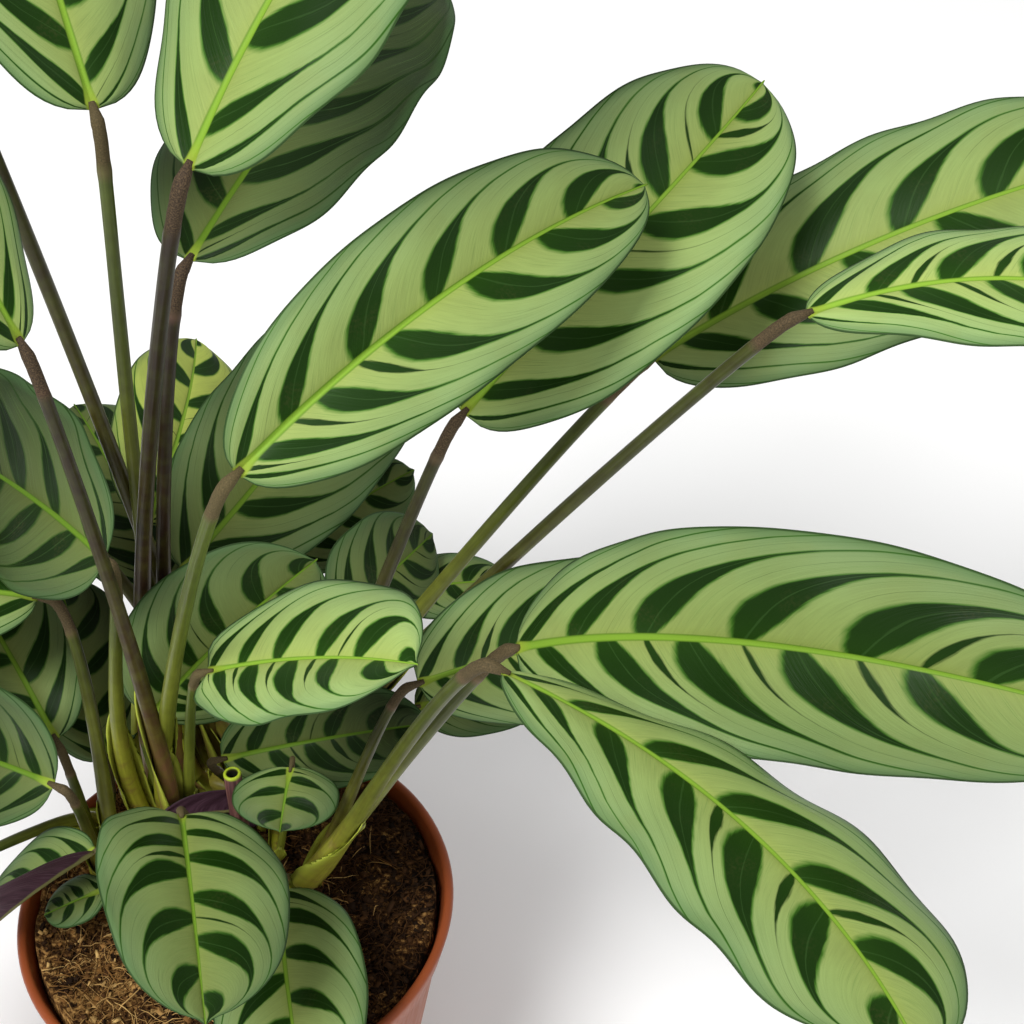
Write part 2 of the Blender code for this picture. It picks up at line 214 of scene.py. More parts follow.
# Each outline: where the blade is widest, how full its base is, how full its tip is, how far its
# halves fold up from the midrib, and how far its base reaches back beside the stalk.
OUTLINES = {
    "oblong": (0.46, 2.4, 2.4, 0.25, 0.12),
    "cupped": (0.44, 2.4, 2.4, 0.55, 0.12),
    "folded": (0.44, 2.4, 2.4, 1.10, 0.12),
    "spoon": (0.53, 1.9, 2.8, 0.15, 0.08),
    "slender": (0.47, 1.6, 2.4, 0.20, 0.05),
    "round": (0.48, 2.5, 2.8, 0.45, 0.50),
}

# Angles are in degrees. A heading of 0 points right and one of 90 points back.
# A leaf's age is set higher where the leaf lies in shade, so its darker colour is partly painted shade.
LEAVES = {
    "leaf_top_left": Leaf(
        "shoot_back", (-23, 50, 230), (-14, 45, 364),
        113, 33, 27, -5, -13, 0, 134, 59, age_and_shade=0.36, brown=0.35),
    "leaf_top_middle": Leaf(
        "shoot_main", (-20, 36, 226), (17, 0, 372), 42, 38, 33, -3, -8, 0, 158, 67, age_and_shade=0.34, brown=0.95),
    "leaf_top_behind": Leaf(
        "shoot_back", (-18, 47, 210), (3, 50, 318), 66, 12, 22, 3, -3, -5, 143, 65, age_and_shade=1.0, brown=0.95),
    "leaf_left_edge": Leaf(
        "shoot_main", (-20, 5, 222), (-29, 0, 325), 150, 56, 25, -5, -7, 3, 123, 46, age_and_shade=0.0, brown=0.9),
    "leaf_left_broad": Leaf(
        "shoot_main", (-30, 16, 190), (-24, 12, 245),
        136, -8, 14, 10, 58, -2, 123, 60, age_and_shade=0.98, brown=0.3),
    "leaf_left_lower": Leaf(
        "shoot_left", (-50, 18, 128), (-56, 25, 157), 128, 22, 21, 4, 14, 0, 95, 46, age_and_shade=0.7, brown=0.4),
    "leaf_left_lowest": Leaf(
        "shoot_left", (-44, 2, 138), (-48, -5, 170), 160, -6, 18, 12, 48, 0, 85, 46, age_and_shade=1.0, brown=0.5),
    "leaf_behind_stalks": Leaf(
        "shoot_back", (-26, 66, 150), (-31, 84, 197), 88, 5, 20, 20, -28, 0, 96, 46, age_and_shade=-1.0, brown=0.6),
    "leaf_dark_behind": Leaf(
        "shoot_back", (-15, 56, 150), (-16, 62, 196), 59, 15, 0, 7, -26, 0, 140, 63, age_and_shade=0.71, brown=0.8),
    "leaf_centre": Leaf(
        "shoot_main", (-9, 2, 206), (25, -30, 309),
        40, 13, 38, 8, -48, 28, 134, 46, "cupped", age_and_shade=0.23, brown=0.2),
    "leaf_upper_right": Leaf(
        "shoot_right", (41, 32, 190), (76, 30, 282),
        42, 27, 30, 30, -27, -2, 131, 63, "cupped", age_and_shade=0.08, brown=0.8),
    "leaf_far_right": Leaf(
        "shoot_right", (60, 54, 187), (131, 75, 269), 8, 20, 34, 8, -30, 6, 178, 64, age_and_shade=0.3, brown=0.35),
    "leaf_right_narrow": Leaf(
        "shoot_right", (75, 28, 214), (161, 10, 327),
        5, -10, 54, -12, -9, -9, 128, 48, "slender", age_and_shade=0.0, brown=0.65),
    "leaf_front_right": Leaf(
        "shoot_front", (50, -8, 172), (90, -12, 234),
        -30, 18, 46, 18, -56, -5, 175, 55, age_and_shade=0.41, brown=0.45),
    "leaf_front_hanging": Leaf(
        "shoot_front", (50, -22, 188), (87, -56, 270),
        -53, 2, -18, -54, 15, -26, 135, 53, "spoon", age_and_shade=0.26, brown=0.45),
    "leaf_pale_small": Leaf(
        "shoot_main", (-12, 14, 156), (4, -5, 218),
        -26, 26, 4, -23, -11, 0, 75, 49, "round", age_and_shade=0.0, brown=0.1),
    "leaf_dark_middle": Leaf(
        "shoot_main", (-26, 24, 138), (-24, 24, 169), 8, 46, 12, 0, -80, 8, 80, 53, age_and_shade=0.61, brown=0.3),
    "leaf_dark_front": Leaf(
        "shoot_right", (0, 28, 130), (-3, 21, 152), 0, 14, 8, 0, -62, 0, 68, 35, age_and_shade=0.84, brown=0.4),
    "leaf_spiky_small": Leaf(
        "shoot_right", (22, 50, 140), (32, 58, 177), 58, -3, 5, 6, -55, 0, 55, 42, age_and_shade=0.71, brown=0.4),
    "leaf_right_middle": Leaf(
        "shoot_front", (41, 2, 162), (62, 4, 204), 12, 7, 17, 0, -72, 0, 86, 51, age_and_shade=0.22, brown=0.6),
    "leaf_over_pot": Leaf(
        "shoot_low", (-10, 2, 135), (-10, -10, 162),
        -76, 4, 49, -4, 23, 7, 78, 54, "round", age_and_shade=0.45, brown=0.1),
    "leaf_over_pot_right": Leaf(
        "shoot_front", (18, 0, 118), (16, -12, 128), -78, -3, 27, 4, -15, 0, 79, 47, age_and_shade=0.34, brown=0.1),
    "leaf_behind_lower": Leaf(
        "shoot_left", (-46, 30, 115), (-48, 44, 126), 112, 24, 20, 0, 10, 0, 70, 40, age_and_shade=0.67, brown=0.3),
    "leaf_tip_behind": Leaf(
        "shoot_back", (-8, 84, 130), (4, 112, 155), 35, 14, 20, 0, -30, 0, 61, 36, age_and_shade=0.62, brown=0.4),
    "leaf_under_right": Leaf(
        "shoot_right", (22, 70, 130), (46, 92, 158), 5, 4, 15, 0, -10, 0, 42, 28, age_and_shade=0.53, brown=0.4),
    "leaf_under_middle": Leaf(
        "shoot_right", (38, 40, 135), (58, 36, 160), 8, 6, 12, 0, -35, 0, 46, 27, age_and_shade=0.71, brown=0.5),
    "leaf_curled_left": Leaf(
        "shoot_left", (-38, -2, 128), (-37, -14, 150),
        194, -36, 15, 0, -28, 0, 48, 26, "folded", age_and_shade=0.62, brown=0.2),
    "leaf_low_left": Leaf(
        "shoot_left", (-41, 1, 118), (-39, -9, 125), 193, -20, 10, 0, 10, 0, 21, 17, age_and_shade=0.67, brown=0.2),
    "leaf_young_drooping": Leaf(
        "shoot_right", (17, 4, 138), (21, 8, 163), -95, -16, 20, 0, 0, 0, 21, 33, age_and_shade=0.62, brown=0.1),
    "leaf_purple_back": Leaf(
        "shoot_low", (-18, 3, 122), (-22, 6, 141), 25, -18, 0, 0, 100, 0, 42, 18, age_and_shade=0.71, brown=0.3),
    "leaf_tall_left": Leaf(
        "shoot_back", (-26, 52, 236), (-62, 50, 432), 166, 22, 34, 0, 6, 0, 142, 60, age_and_shade=0.18, brown=0.8),
    "leaf_thick_stalk": Leaf(
        "shoot_left", (-42, 21, 150), (-58, 45, 200), 186, 4, 24, 0, 12, 0, 140, 56, age_and_shade=0.36, brown=0.5),
    "leaf_out_back_left": Leaf(
        "shoot_back", (-34, 72, 168), (-104, 118, 244), 158, 18, 32, -6, 0, 0, 140, 58, age_and_shade=0.36, brown=0.7),
    "leaf_out_low_left": Leaf(
        "shoot_left", (-58, 11, 132), (-84, -20, 148), 214, 0, 34, 5, 12, 0, 92, 48, age_and_shade=0.71, brown=0.3),
    "leaf_out_low_back": Leaf(
        "shoot_back", (-22, 68, 135), (-30, 84, 165), 118, 12, 30, 5, 4, 0, 96, 50, age_and_shade=0.62, brown=0.4),
    "leaf_out_back_low": Leaf(
        "shoot_back", (-10, 66, 122), (-12, 84, 132), 112, 8, 30, -5, -6, 0, 90, 44, age_and_shade=0.62, brown=0.3),
}
print("leaves:", len(LEAVES), "on", len(SHOOTS), "shoots")

# %% [markdown]
# ## Blotches of the upper face
#
# The upper face of the blade is a living leaf: a waxy, slightly silky skin over green tissue. It
# has a bright midrib, a ground that turns from yellow green at the midrib to silver green at the
# edge, and dark green blotches that follow the side veins. Painting these by hand would need a
# picture. Here a few nodes draw them from the blade's own coordinates, so every blade gets stripes
# that fit it, and no two are alike.
#
# The map "stripes" counts blotches along the blade, so the whole part of its first number says
# which blotch a point belongs to, and the rest says where in it the point is. A dark blotch is
# where that rest is smaller than the blotch's reach, which a ramp gives from midrib to edge. Two
# draws of white noise give each blotch its own place and size.

# %% Blotches along the veins
BLOTCH_CENTRE = 0.65
BLOTCH_JITTER = 0.14
BLOTCH_BASE_SIDE = 0.28
BLOTCH_TIP_SIDE = 0.21
BLOTCH_FRAY = 0.05
SECOND_DRAW = 0.37
STREAK_CENTRE = 0.55
STREAK_FRAY = 0.04


def blotch_depth(tree, along, off_rib, comb):
    """How deep inside a dark blotch a point lies: over 0 inside, under 0 outside."""
    cell = calc(tree, "FLOOR", along)
    draw = add(tree, "TexWhiteNoise", {"W": cell}, noise_dimensions="1D")
    other = calc(tree, "ADD", cell, SECOND_DRAW)
    size_draw = add(tree, "TexWhiteNoise", {"W": other}, noise_dimensions="1D")
    rest = calc(tree, "FRACT", along)
    nudge = calc(tree, "MULTIPLY_ADD", draw, BLOTCH_JITTER, -BLOTCH_CENTRE)
    rest = calc(tree, "ADD", rest, nudge)
    rest = calc(tree, "MULTIPLY_ADD", comb, BLOTCH_FRAY, rest)
    to_base = calc(tree, "MULTIPLY", rest, -1 / BLOTCH_BASE_SIDE)
    to_tip = calc(tree, "MULTIPLY", rest, 1 / BLOTCH_TIP_SIDE)
    away = calc(tree, "MAXIMUM", to_base, to_tip)
    stretch = calc(tree, "MULTIPLY_ADD", size_draw, -0.24, 1.12)
    outward = calc(tree, "MULTIPLY", off_rib, stretch)
    reach = add(
        tree, "ValToRGB", {0: outward},
        stops=[(0.0, 0.34), (0.08, 0.62), (0.20, 0.90), (0.34, 1.0), (0.50, 0.82),
               (0.62, 0.46), (0.71, 0.22), (0.80, 0.13), (1.0, 0.09)])
    size = calc(tree, "MULTIPLY_ADD", size_draw, 0.32, 0.80)
    reach = calc(tree, "MULTIPLY", reach, size)
    return calc(tree, "SUBTRACT", reach, away), rest


def streak_depth(tree, along, off_rib, comb):
    """The same for the small blotches between the large ones, which only some gaps have."""
    shifted = calc(tree, "ADD", along, 0.5)
    cell = calc(tree, "FLOOR", shifted)
    draw = add(tree, "TexWhiteNoise", {"W": cell}, noise_dimensions="1D")
    rest = calc(tree, "FRACT", shifted)
    rest = calc(tree, "MULTIPLY_ADD", comb, STREAK_FRAY, rest)
    away = calc(tree, "SUBTRACT", rest, STREAK_CENTRE)
    away = calc(tree, "ABSOLUTE", away)
    reach = add(
        tree, "ValToRGB", {0: off_rib},
        stops=[(0.0, 0.35), (0.08, 0.75), (0.22, 1.0), (0.38, 0.55), (0.50, 0.16), (0.66, 0.0)])
    width = calc(tree, "MULTIPLY_ADD", draw, 0.26, -0.17)
    reach = calc(tree, "MULTIPLY", reach, width)
    return calc(tree, "SUBTRACT", reach, away)


print("a blotch of middling size fills", BLOTCH_BASE_SIDE + BLOTCH_TIP_SIDE, "of its stripe")

# %% [markdown]
# ## Colours of the upper face
#
# A young leaf is pale and an old one is dark all over, so each colour is a mix of a young one and
# an old one by the leaf's age. A leaf that lies in shade has a higher age as well, so part of its
# darkness is painted shade. A leaf that has just opened is yellow. The ground is a little cloudy
# and finely lined, as the tissue under the skin is. The blotches are rubbed grey brown in places,
# partly scuffs and partly a painted sheen, and the rub is drawn in noise coarse enough to show.

# %% Ground, blotch and midrib colours
CLOUD_MM = 13
SCUFF_AND_SHEEN_MM = 15


def leaf_ground(tree, off_rib, comb, oldness_and_shade, place):
    """The pale ground colour between the blotches, from midrib to edge."""
    young = add(
        tree, "ValToRGB", {0: off_rib},
        stops=[(0.0, "#9EB057"), (0.12, "#9DB060"), (0.45, "#99B066"), (0.75, "#90A969"),
               (1.0, "#83A06A")])
    # The dark old colour also stands for painted shade on leaves that lie in shade.
    aged_and_shaded = add(
        tree, "ValToRGB", {0: off_rib},
        stops=[(0.0, "#343E1C"), (0.30, "#303C1E"), (0.75, "#2B381F"), (1.0, "#24321D")])
    ground = blend(tree, oldness_and_shade, young, aged_and_shaded)
    new = remap(tree, oldness_and_shade, -0.3, -1.0, 0.0, 0.8)
    ground = blend(tree, new, ground, linear("#B9C85A"))
    patch = add(tree, "TexNoise", {"Vector": place, "Scale": 1 / CLOUD_MM, "Detail": 3.0})
    patch = remap(tree, patch, 0.45, 0.75, 0.0, 0.30)
    cloud = blend(tree, oldness_and_shade, linear("#8E9A55"), linear("#3A4422"))
    ground = blend(tree, patch, ground, cloud)
    shade = remap(tree, comb, 0.25, 0.75, 0.92, 1.05)
    return blend(tree, 1.0, ground, shade, blend_type="MULTIPLY")


def blotch_colour(tree, off_rib, oldness_and_shade, place, core):
    """Dark green of the blotches, rubbed grey brown here and there: scuffs and a painted sheen."""
    young = add(
        tree, "ValToRGB", {0: off_rib},
        stops=[(0.0, "#20400C"), (0.25, "#1A3708"), (0.6, "#163007"), (1.0, "#1F400C")])
    aged_and_shaded = add(
        tree, "ValToRGB", {0: off_rib},
        stops=[(0.0, "#142605"), (0.25, "#0E1F04"), (0.6, "#0C1B04"), (1.0, "#152907")])
    dark = blend(tree, oldness_and_shade, young, aged_and_shaded)
    # Grey brown patches on the blotches: partly scuffs, partly a painted sheen of the waxy skin.
    region = add(tree, "TexNoise", {"Vector": place, "Scale": 1 / SCUFF_AND_SHEEN_MM, "Detail": 2.0})
    region = remap(tree, region, 0.55, 0.70)
    fuzz = add(tree, "TexNoise", {"Vector": place, "Scale": 1.1, "Detail": 4.0})
    fuzz = remap(tree, fuzz, 0.42, 0.66, 0.0, 0.22)
    scuff_and_sheen = calc(tree, "MULTIPLY", region, fuzz)
    scuff_and_sheen = calc(tree, "MULTIPLY", scuff_and_sheen, core)
    return blend(tree, scuff_and_sheen, dark, linear("#454526"))


def lay_midrib(tree, colour, place, oldness_and_shade):
    """Lay the bright midrib over a colour, with a lime knob at the blade's base."""
    apart = add(tree, "SeparateXYZ", {0: place})
    across = calc(tree, "ABSOLUTE", apart.node.outputs[1])
    rib_half = noted(tree, "rib_half_mm")
    ratio = calc(tree, "DIVIDE", across, rib_half)
    on_rib = remap(tree, ratio, 1.15, 0.80)
    young = add(
        tree, "ValToRGB", {0: ratio}, stops=[(0.0, "#86AC38"), (0.45, "#86AC38"), (1.0, "#5A7E20")])
    aged_and_shaded = add(
        tree, "ValToRGB", {0: ratio}, stops=[(0.0, "#476512"), (0.6, "#476512"), (1.0, "#334D10")])
    rib = blend(tree, oldness_and_shade, young, aged_and_shaded)
    knob = remap(tree, apart, 7.0, 1.5)
    rib = blend(tree, knob, rib, linear("#8CA035"))
    return blend(tree, on_rib, colour, rib)


# The rubbed areas are scuffs together with a painted sheen.
print("ground clouds:", CLOUD_MM, "mm, rubbed areas:", SCUFF_AND_SHEEN_MM, "mm")

# %% [markdown]
# ## The upper face
#
# The finish is laid as the leaf shows it, from below: the ground, fine veins, a greener band at the
# edge, the soft green border of the blotches, the blotches and the small streaks between them, the
# paler vein in the middle of each blotch, the dark outline, and the midrib on top. The skin is
# waxed, so it shines softly, a bit more on the blotches, and the fine lines raise it.

# %% Upper face of the leaves
COMB_LINES = (30, 4, 1)
VEIN_LINES = (75, 2, 1)


def make_upper_face():
    """Waxy leaf skin: stripes along the veins, a bright midrib and a dark fine outline."""
    material, tree, shader = new_material("prayer plant leaf, upper face", 0.40, 0.11)
    stripes = add(tree, "UVMap", uv_map="stripes")
    place = add(tree, "UVMap", uv_map="blade_mm")
    along = add(tree, "SeparateXYZ", {0: stripes})
    off_rib = along.node.outputs[1]
    fine = add(tree, "VectorMath", {0: stripes, 1: COMB_LINES}, operation="MULTIPLY")
    comb = add(tree, "TexNoise", {"Vector": fine, "Scale": 1.0, "Detail": 2.0})
    # The leaf's age, raised on leaves in shade: its darkening is partly painted shade.
    oldness_and_shade = noted(tree, "age_and_shade")
    colour = leaf_ground(tree, off_rib, comb, oldness_and_shade, place)

    finer = add(tree, "VectorMath", {0: stripes, 1: VEIN_LINES}, operation="MULTIPLY")
    vein = add(tree, "TexNoise", {"Vector": finer, "Scale": 1.0, "Detail": 1.0})
    vein = remap(tree, vein, 0.62, 0.72, 0.0, 0.35)
    colour = blend(tree, vein, colour, linear("#56763A"))
    edge = noted(tree, "edge_mm")
    band = remap(tree, edge, 3.2, 0.8, 0.0, 0.50)
    colour = blend(tree, band, colour, linear("#48693C"))

    depth, rest = blotch_depth(tree, along, off_rib, comb)
    halo = remap(tree, depth, -0.20, 0.03, 0.0, 0.95)
    green = blend(tree, oldness_and_shade, linear("#3C701A"), linear("#1B300C"))
    colour = blend(tree, halo, colour, green)
    core = remap(tree, depth, -0.03, 0.14, interpolation_type="SMOOTHSTEP")
    dark = blotch_colour(tree, off_rib, oldness_and_shade, place, core)
    colour = blend(tree, core, colour, dark)
    small = streak_depth(tree, along, off_rib, comb)
    streak = remap(tree, small, -0.012, 0.014)
    colour = blend(tree, streak, colour, dark)

    line = calc(tree, "ABSOLUTE", rest)
    line = remap(tree, line, 0.014, 0.006, 0.0, 0.12)
    colour = blend(tree, line, colour, linear("#52773F"))
    outline = remap(tree, edge, 0.65, 0.35, 0.0, 0.9)
    colour = blend(tree, outline, colour, linear("#2B431F"))
    colour = lay_midrib(tree, colour, place, oldness_and_shade)

    gloss = remap(tree, core, 0.0, 1.0, 0.50, 0.42)
    relief = calc(tree, "MULTIPLY_ADD", vein, -0.5, comb)
    bump = add(tree, "Bump", {"Height": relief, "Strength": 0.4, "Distance": 0.0002})
    wire(tree, shader, {"Base Color": colour, "Roughness": gloss, "Normal": bump})
    return material


leaf_upper = make_upper_face()
print("made", leaf_upper.name)

# %% [markdown]
# ## Finish of the underside
#
# The same leaf is wine red to purple below, and paler along its veins. It is duller than the upper
# face, because its skin has no wax. The same two maps draw its veins and its midrib. The red hides
# the blotches, so they are left out here.

# %% Underside of the leaves
def make_underside():
    """Purple leaf skin, matt, with pale veins and a green brown midrib."""
    material, tree, shader = new_material("prayer plant leaf, purple underside", 0.55, 0.2)
    stripes = add(tree, "UVMap", uv_map="stripes")
    fine = add(tree, "VectorMath", {0: stripes, 1: (14, 3, 1)}, operation="MULTIPLY")
    veins = add(tree, "TexNoise", {"Vector": fine, "Scale": 1.0, "Detail": 2.0})
    colour = add(
        tree, "ValToRGB", {0: veins},
        stops=[(0.25, "#2C1A22"), (0.5, "#3E2631"), (0.8, "#553D47")])
    place = add(tree, "SeparateXYZ", {0: add(tree, "UVMap", uv_map="blade_mm")})
    across = calc(tree, "ABSOLUTE", place.node.outputs[1])
    rib_half = noted(tree, "rib_half_mm")
    ratio = calc(tree, "DIVIDE", across, rib_half)
    on_rib = remap(tree, ratio, 1.6, 1.0)
    colour = blend(tree, on_rib, colour, linear("#67663A"))
    bump = add(tree, "Bump", {"Height": veins, "Strength": 0.5, "Distance": 0.0003})
    wire(tree, shader, {"Base Color": colour, "Normal": bump})
    return material


leaf_under = make_underside()
print("made", leaf_under.name)

# %% [markdown]
# ## The bend of a blade
#
# A blade grows along its midrib. The midrib leaves the stalk at a pitch and a heading, droops, and
# may sweep sideways, so a point on it is found by walking along it in short steps. From there the
# blade reaches to both sides: its halves fold up from the midrib, arch over, and end in a wavy
# edge. A Bend modifier on a plane could do one of these bends, but not all of them together.
#
# The fold, the arch and the wave follow the frame's own solids. What comes on top of them here is
# fine: a channel along the midrib, and shallow ribs between the side veins.

# %% Midrib and outline of a blade
BLADE_NECK = 1.2
BLADE_TIP = 0.5
TIP_SHARE = 0.016
TIP_TAPER = 0.75
BASE_POWER = 0.55
TIP_POWER = 0.6
MIDRIB_STEPS = 24


@lru_cache(maxsize=None)
def midrib_direction(leaf, share):
    """Which way the midrib runs at a share of the blade's length."""
    pitch = math.radians(leaf.pitch + leaf.droop * (0.5 - share))
    heading = math.radians(leaf.heading + leaf.sweep * (share - 0.5))
    flat = math.cos(pitch)
    return Vector((flat * math.cos(heading), flat * math.sin(heading), math.sin(pitch)))


@lru_cache(maxsize=None)
def blade_sides(leaf, share):
    """Unit vectors to the blade's right and out of its upper face."""
    along = midrib_direction(leaf, share)
    heading = math.radians(leaf.heading + leaf.sweep * (share - 0.5))
    level = Vector((math.sin(heading), -math.cos(heading), 0.0))
    upward = level.cross(along)
    roll = math.radians(leaf.roll + leaf.twist * (share - 0.5))
    right = level * math.cos(roll) + upward * math.sin(roll)
    out = upward * math.cos(roll) - level * math.sin(roll)
    return right, out


@lru_cache(maxsize=None)
def midrib_point(leaf, share):
    """Walk along the bent midrib from the blade's base."""
    point = Vector(leaf.base)
    for step in range(MIDRIB_STEPS):
        stride = leaf.length * share / MIDRIB_STEPS
        point += midrib_direction(leaf, share * (step + 0.5) / MIDRIB_STEPS) * stride
    return point


def half_width(leaf, share):
    """Half of the blade's width at a share of its length. Past 1 lies its fine drip tip."""
    widest, base_fullness, tip_fullness, _, _ = OUTLINES[leaf.outline]
    if share > 1.0:
        return BLADE_TIP * (1.0 - TIP_TAPER * (share - 1.0) / TIP_SHARE)
    if share < widest:
        shape = (1.0 - (1.0 - share / widest) ** base_fullness) ** BASE_POWER
        return max(leaf.width / 2 * shape, BLADE_NECK)
    shape = max(0.0, 1.0 - ((share - widest) / (1.0 - widest)) ** tip_fullness) ** TIP_POWER
    return max(leaf.width / 2 * shape, BLADE_TIP)


print("highest blade tip:", round(max(midrib_point(leaf, 1.0).z for leaf in LEAVES.values())), "mm")

# %% [markdown]
# ## Where the side veins run
#
# A prayer plant's side veins leave the midrib nearly square, and curve towards the tip as they near
# the edge. The stripes follow them, so the blade gets a coordinate that stays the same along each
# vein: how far along the midrib the vein started. It becomes the UV map that the blotches read. The
# two halves of a blade are offset by half a stripe, as on the real leaf, where dark blotches
# alternate across the midrib.

# %% Vein coordinates
VEIN_LEAN = 0.13
VEIN_SWEEP = 0.30
VEIN_CURVE = 4.0
STRIPE_LEAST = 4.5
STRIPE_GROWTH = 0.145
CROWDING = 0.08
CROWDED_SHARE = 0.16


def vein_share(share, across):
    """Where along the midrib the side vein through a point starts, as a share of the length."""
    t = abs(across)
    return share - (VEIN_LEAN * t + VEIN_SWEEP * t**VEIN_CURVE)


def stripe_place(leaf, share, across):
    """Which blotch a point lies in, counted along one half of the blade, closer at the base."""
    vein = vein_share(share, across)
    crowded = CROWDING * math.exp(-max(vein, 0.0) / CROWDED_SHARE)
    return (vein - crowded) * leaf.length / (STRIPE_LEAST + STRIPE_GROWTH * leaf.length)


longest = max(LEAVES.values(), key=lambda leaf: leaf.length)
print("blotches along the longest blade:", round(stripe_place(longest, 1.0, 0.0)), "a side")

# %% [markdown]
# ## A point of the blade
#
# With the midrib, the outline and the veins known, any point of the blade can be worked out. From
# the midrib it goes out to the side by the blade's half width there, and up or down by a height
# that adds the fold, the arch, the wave of the edge, the ribs and a fine ripple. A round blade's
# base also reaches back beside the stalk, in two lobes.

# %% Points of a blade
BLADE_ARCH = 0.30
EDGE_WAVE = 0.045
WAVE_LENGTH = 34.0
SHEET_INSET = 0.12
SHEET_THICKNESS = 0.5
EDGE_THINNING = 0.7
UNDER_OFFSET = 0.05
MIDRIB_WIDTH = 2.1
MIDRIB_LENGTH = 130.0
MIDRIB_TAPER = 0.78
MIDRIB_LEAST = 0.08
KNOB_WIDTH = 0.6
KNOB_LENGTH = 4.0
CHANNEL_DEPTH = 0.28
KEEL_HEIGHT = 0.35
RIB_HEIGHT = 0.22
FINE_WAVE = 0.5
RIPPLE_LENGTH = 21.0
SLIM_BLADE = 6.0
LOBE_SHARE = 0.07


def midrib_half(leaf, share):
    """Half of the midrib's width in millimetres, slimmer towards the tip."""
    knob = KNOB_WIDTH * math.exp(-((share * leaf.length / KNOB_LENGTH) ** 2))
    slim = max(0.1, 1.0 - MIDRIB_TAPER * share)
    width = MIDRIB_WIDTH * (leaf.length / MIDRIB_LENGTH) ** 0.3
    return 0.5 * width * slim + MIDRIB_LEAST + knob


def blade_point(leaf, share, across, phase, under=False):
    """A point of the fine blade, in millimetres. across runs from -1 at the left to 1."""
    right, out = blade_sides(leaf, share)
    half = half_width(leaf, share)
    t = abs(across)
    lift = OUTLINES[leaf.outline][3] * t - BLADE_ARCH * t * t
    turns = share * leaf.length / WAVE_LENGTH + phase + 0.25 * across
    lift += EDGE_WAVE * t * t * math.sin(math.tau * turns)
    height = half * lift - SHEET_INSET
    body = min(1.0, half / SLIM_BLADE)
    side = 0.5 if across > 0 else 0.0
    rib = math.cos(math.tau * (stripe_place(leaf, share, across) + side))
    height += RIB_HEIGHT * rib * body * math.sin(math.pi * min(1.0, t * 1.1)) ** 0.8
    ripple = noise.noise(Vector((share * leaf.length / RIPPLE_LENGTH, across * 2.2, phase * 9)))
    height += FINE_WAVE * ripple * t * body
    off_midrib = t * half / midrib_half(leaf, share)
    channel = math.exp(-off_midrib * off_midrib)
    if under:
        thickness = SHEET_THICKNESS * (1.0 - EDGE_THINNING * t**6)
        height -= thickness - UNDER_OFFSET + KEEL_HEIGHT * channel * body
    else:
        height -= CHANNEL_DEPTH * channel * body
    lobe = OUTLINES[leaf.outline][4] * half * t * t * math.exp(-((share / LOBE_SHARE) ** 2))
    point = midrib_point(leaf, share) - midrib_direction(leaf, share) * lobe
    return point + right * (half * across) + out * height


print("midrib at the middle of the longest blade:", round(2 * midrib_half(longest, 0.5), 2), "mm wide")

# %% [markdown]
# ## One blade
#
# Each blade is a grid of fine quads, made twice: once for the upper face and once for the lower
# one, with the rim joined between them. The sheet is half a millimetre thick. A single sheet with
# a Solidify modifier would do nearly the same, but the midrib is raised below and sunk above,
# which an even thickness can't give.
#
# Each blade also carries what its finish reads: two UV maps, the distance to its edge, half of its
# midrib's width, and its age, which grows a little towards the tip and is raised on a leaf that lies
# in shade, as painted shade.

# %% Make the blades
BLADE_ROWS = 88
SMALL_BLADE = 80.0
SMALL_BLADE_ROWS = 52
BLADE_COLUMNS = 34
COLUMN_PACKING = 1.35
PHASE_STEP = 0.37
AGE_AND_SHADE_SLOPE = 0.6
STRIPES_PER_BLADE = 20.0
RIGHT_HALF_OFFSET = 10.5


def spread(across):
    """Pack the columns closer at the midrib, where the channel is."""
    return math.copysign(abs(across) ** COLUMN_PACKING, across)


def make_blade(name, leaf, number):
    """The upper and lower faces of one blade, joined at the rim, with its two UV maps."""
    rows = SMALL_BLADE_ROWS if leaf.length < SMALL_BLADE else BLADE_ROWS
    bm = bmesh.new()
    layers = {key: bm.verts.layers.float.new(key) for key in ("edge_mm", "rib_half_mm", "age_and_shade")}
    layers |= {key: bm.loops.layers.uv.new(key) for key in ("stripes", "blade_mm")}
    where = {}
    for under in (False, True):
        made = flat_grid(bm, rows, BLADE_COLUMNS)
        for vert, (u, v) in made.items():
            share = u * (1.0 + TIP_SHARE)
            across = spread(1.0 - 2.0 * v)
            where[vert] = (share, across)
            vert.co = blade_point(leaf, share, across, PHASE_STEP * number, under)
        if under:
            lower = {face for vert in made for face in vert.link_faces}
            bmesh.ops.reverse_faces(bm, faces=list(lower))
            for face in lower:
                face.material_index = 1
    rim = [edge for edge in bm.edges if edge.is_boundary]
    bmesh.ops.bridge_loops(bm, edges=rim)
    note_blade(bm, leaf, number, where, layers)
    return finish_piece(
        bm, name.replace("leaf", "blade"), [leaf_upper, leaf_under], [name])


def note_blade(bm, leaf, number, where, layers):
    """Write where each corner lies: along its vein, along the blade, and off the edge."""
    for vert, (share, across) in where.items():
        vert[layers["edge_mm"]] = half_width(leaf, share) * (1.0 - abs(across))
        vert[layers["rib_half_mm"]] = midrib_half(leaf, share)
        # The age written here is raised on leaves in shade, as painted shade.
        vert[layers["age_and_shade"]] = leaf.age_and_shade * (1.0 + AGE_AND_SHADE_SLOPE * (share - 0.5))
    for face in bm.faces:
        right_side = sum(where[vert][1] for vert in face.verts) > 0
        offset = STRIPES_PER_BLADE * number + (RIGHT_HALF_OFFSET if right_side else 0.0)
        for loop in face.loops:
            share, across = where[loop.vert]
            loop[layers["stripes"]].uv = (stripe_place(leaf, share, across) + offset, abs(across))
            loop[layers["blade_mm"]].uv = (share * leaf.length, across * half_width(leaf, share))


for number, (name, leaf) in enumerate(LEAVES.items()):
    make_blade(name, leaf, number)
print("blades made:", len(LEAVES))
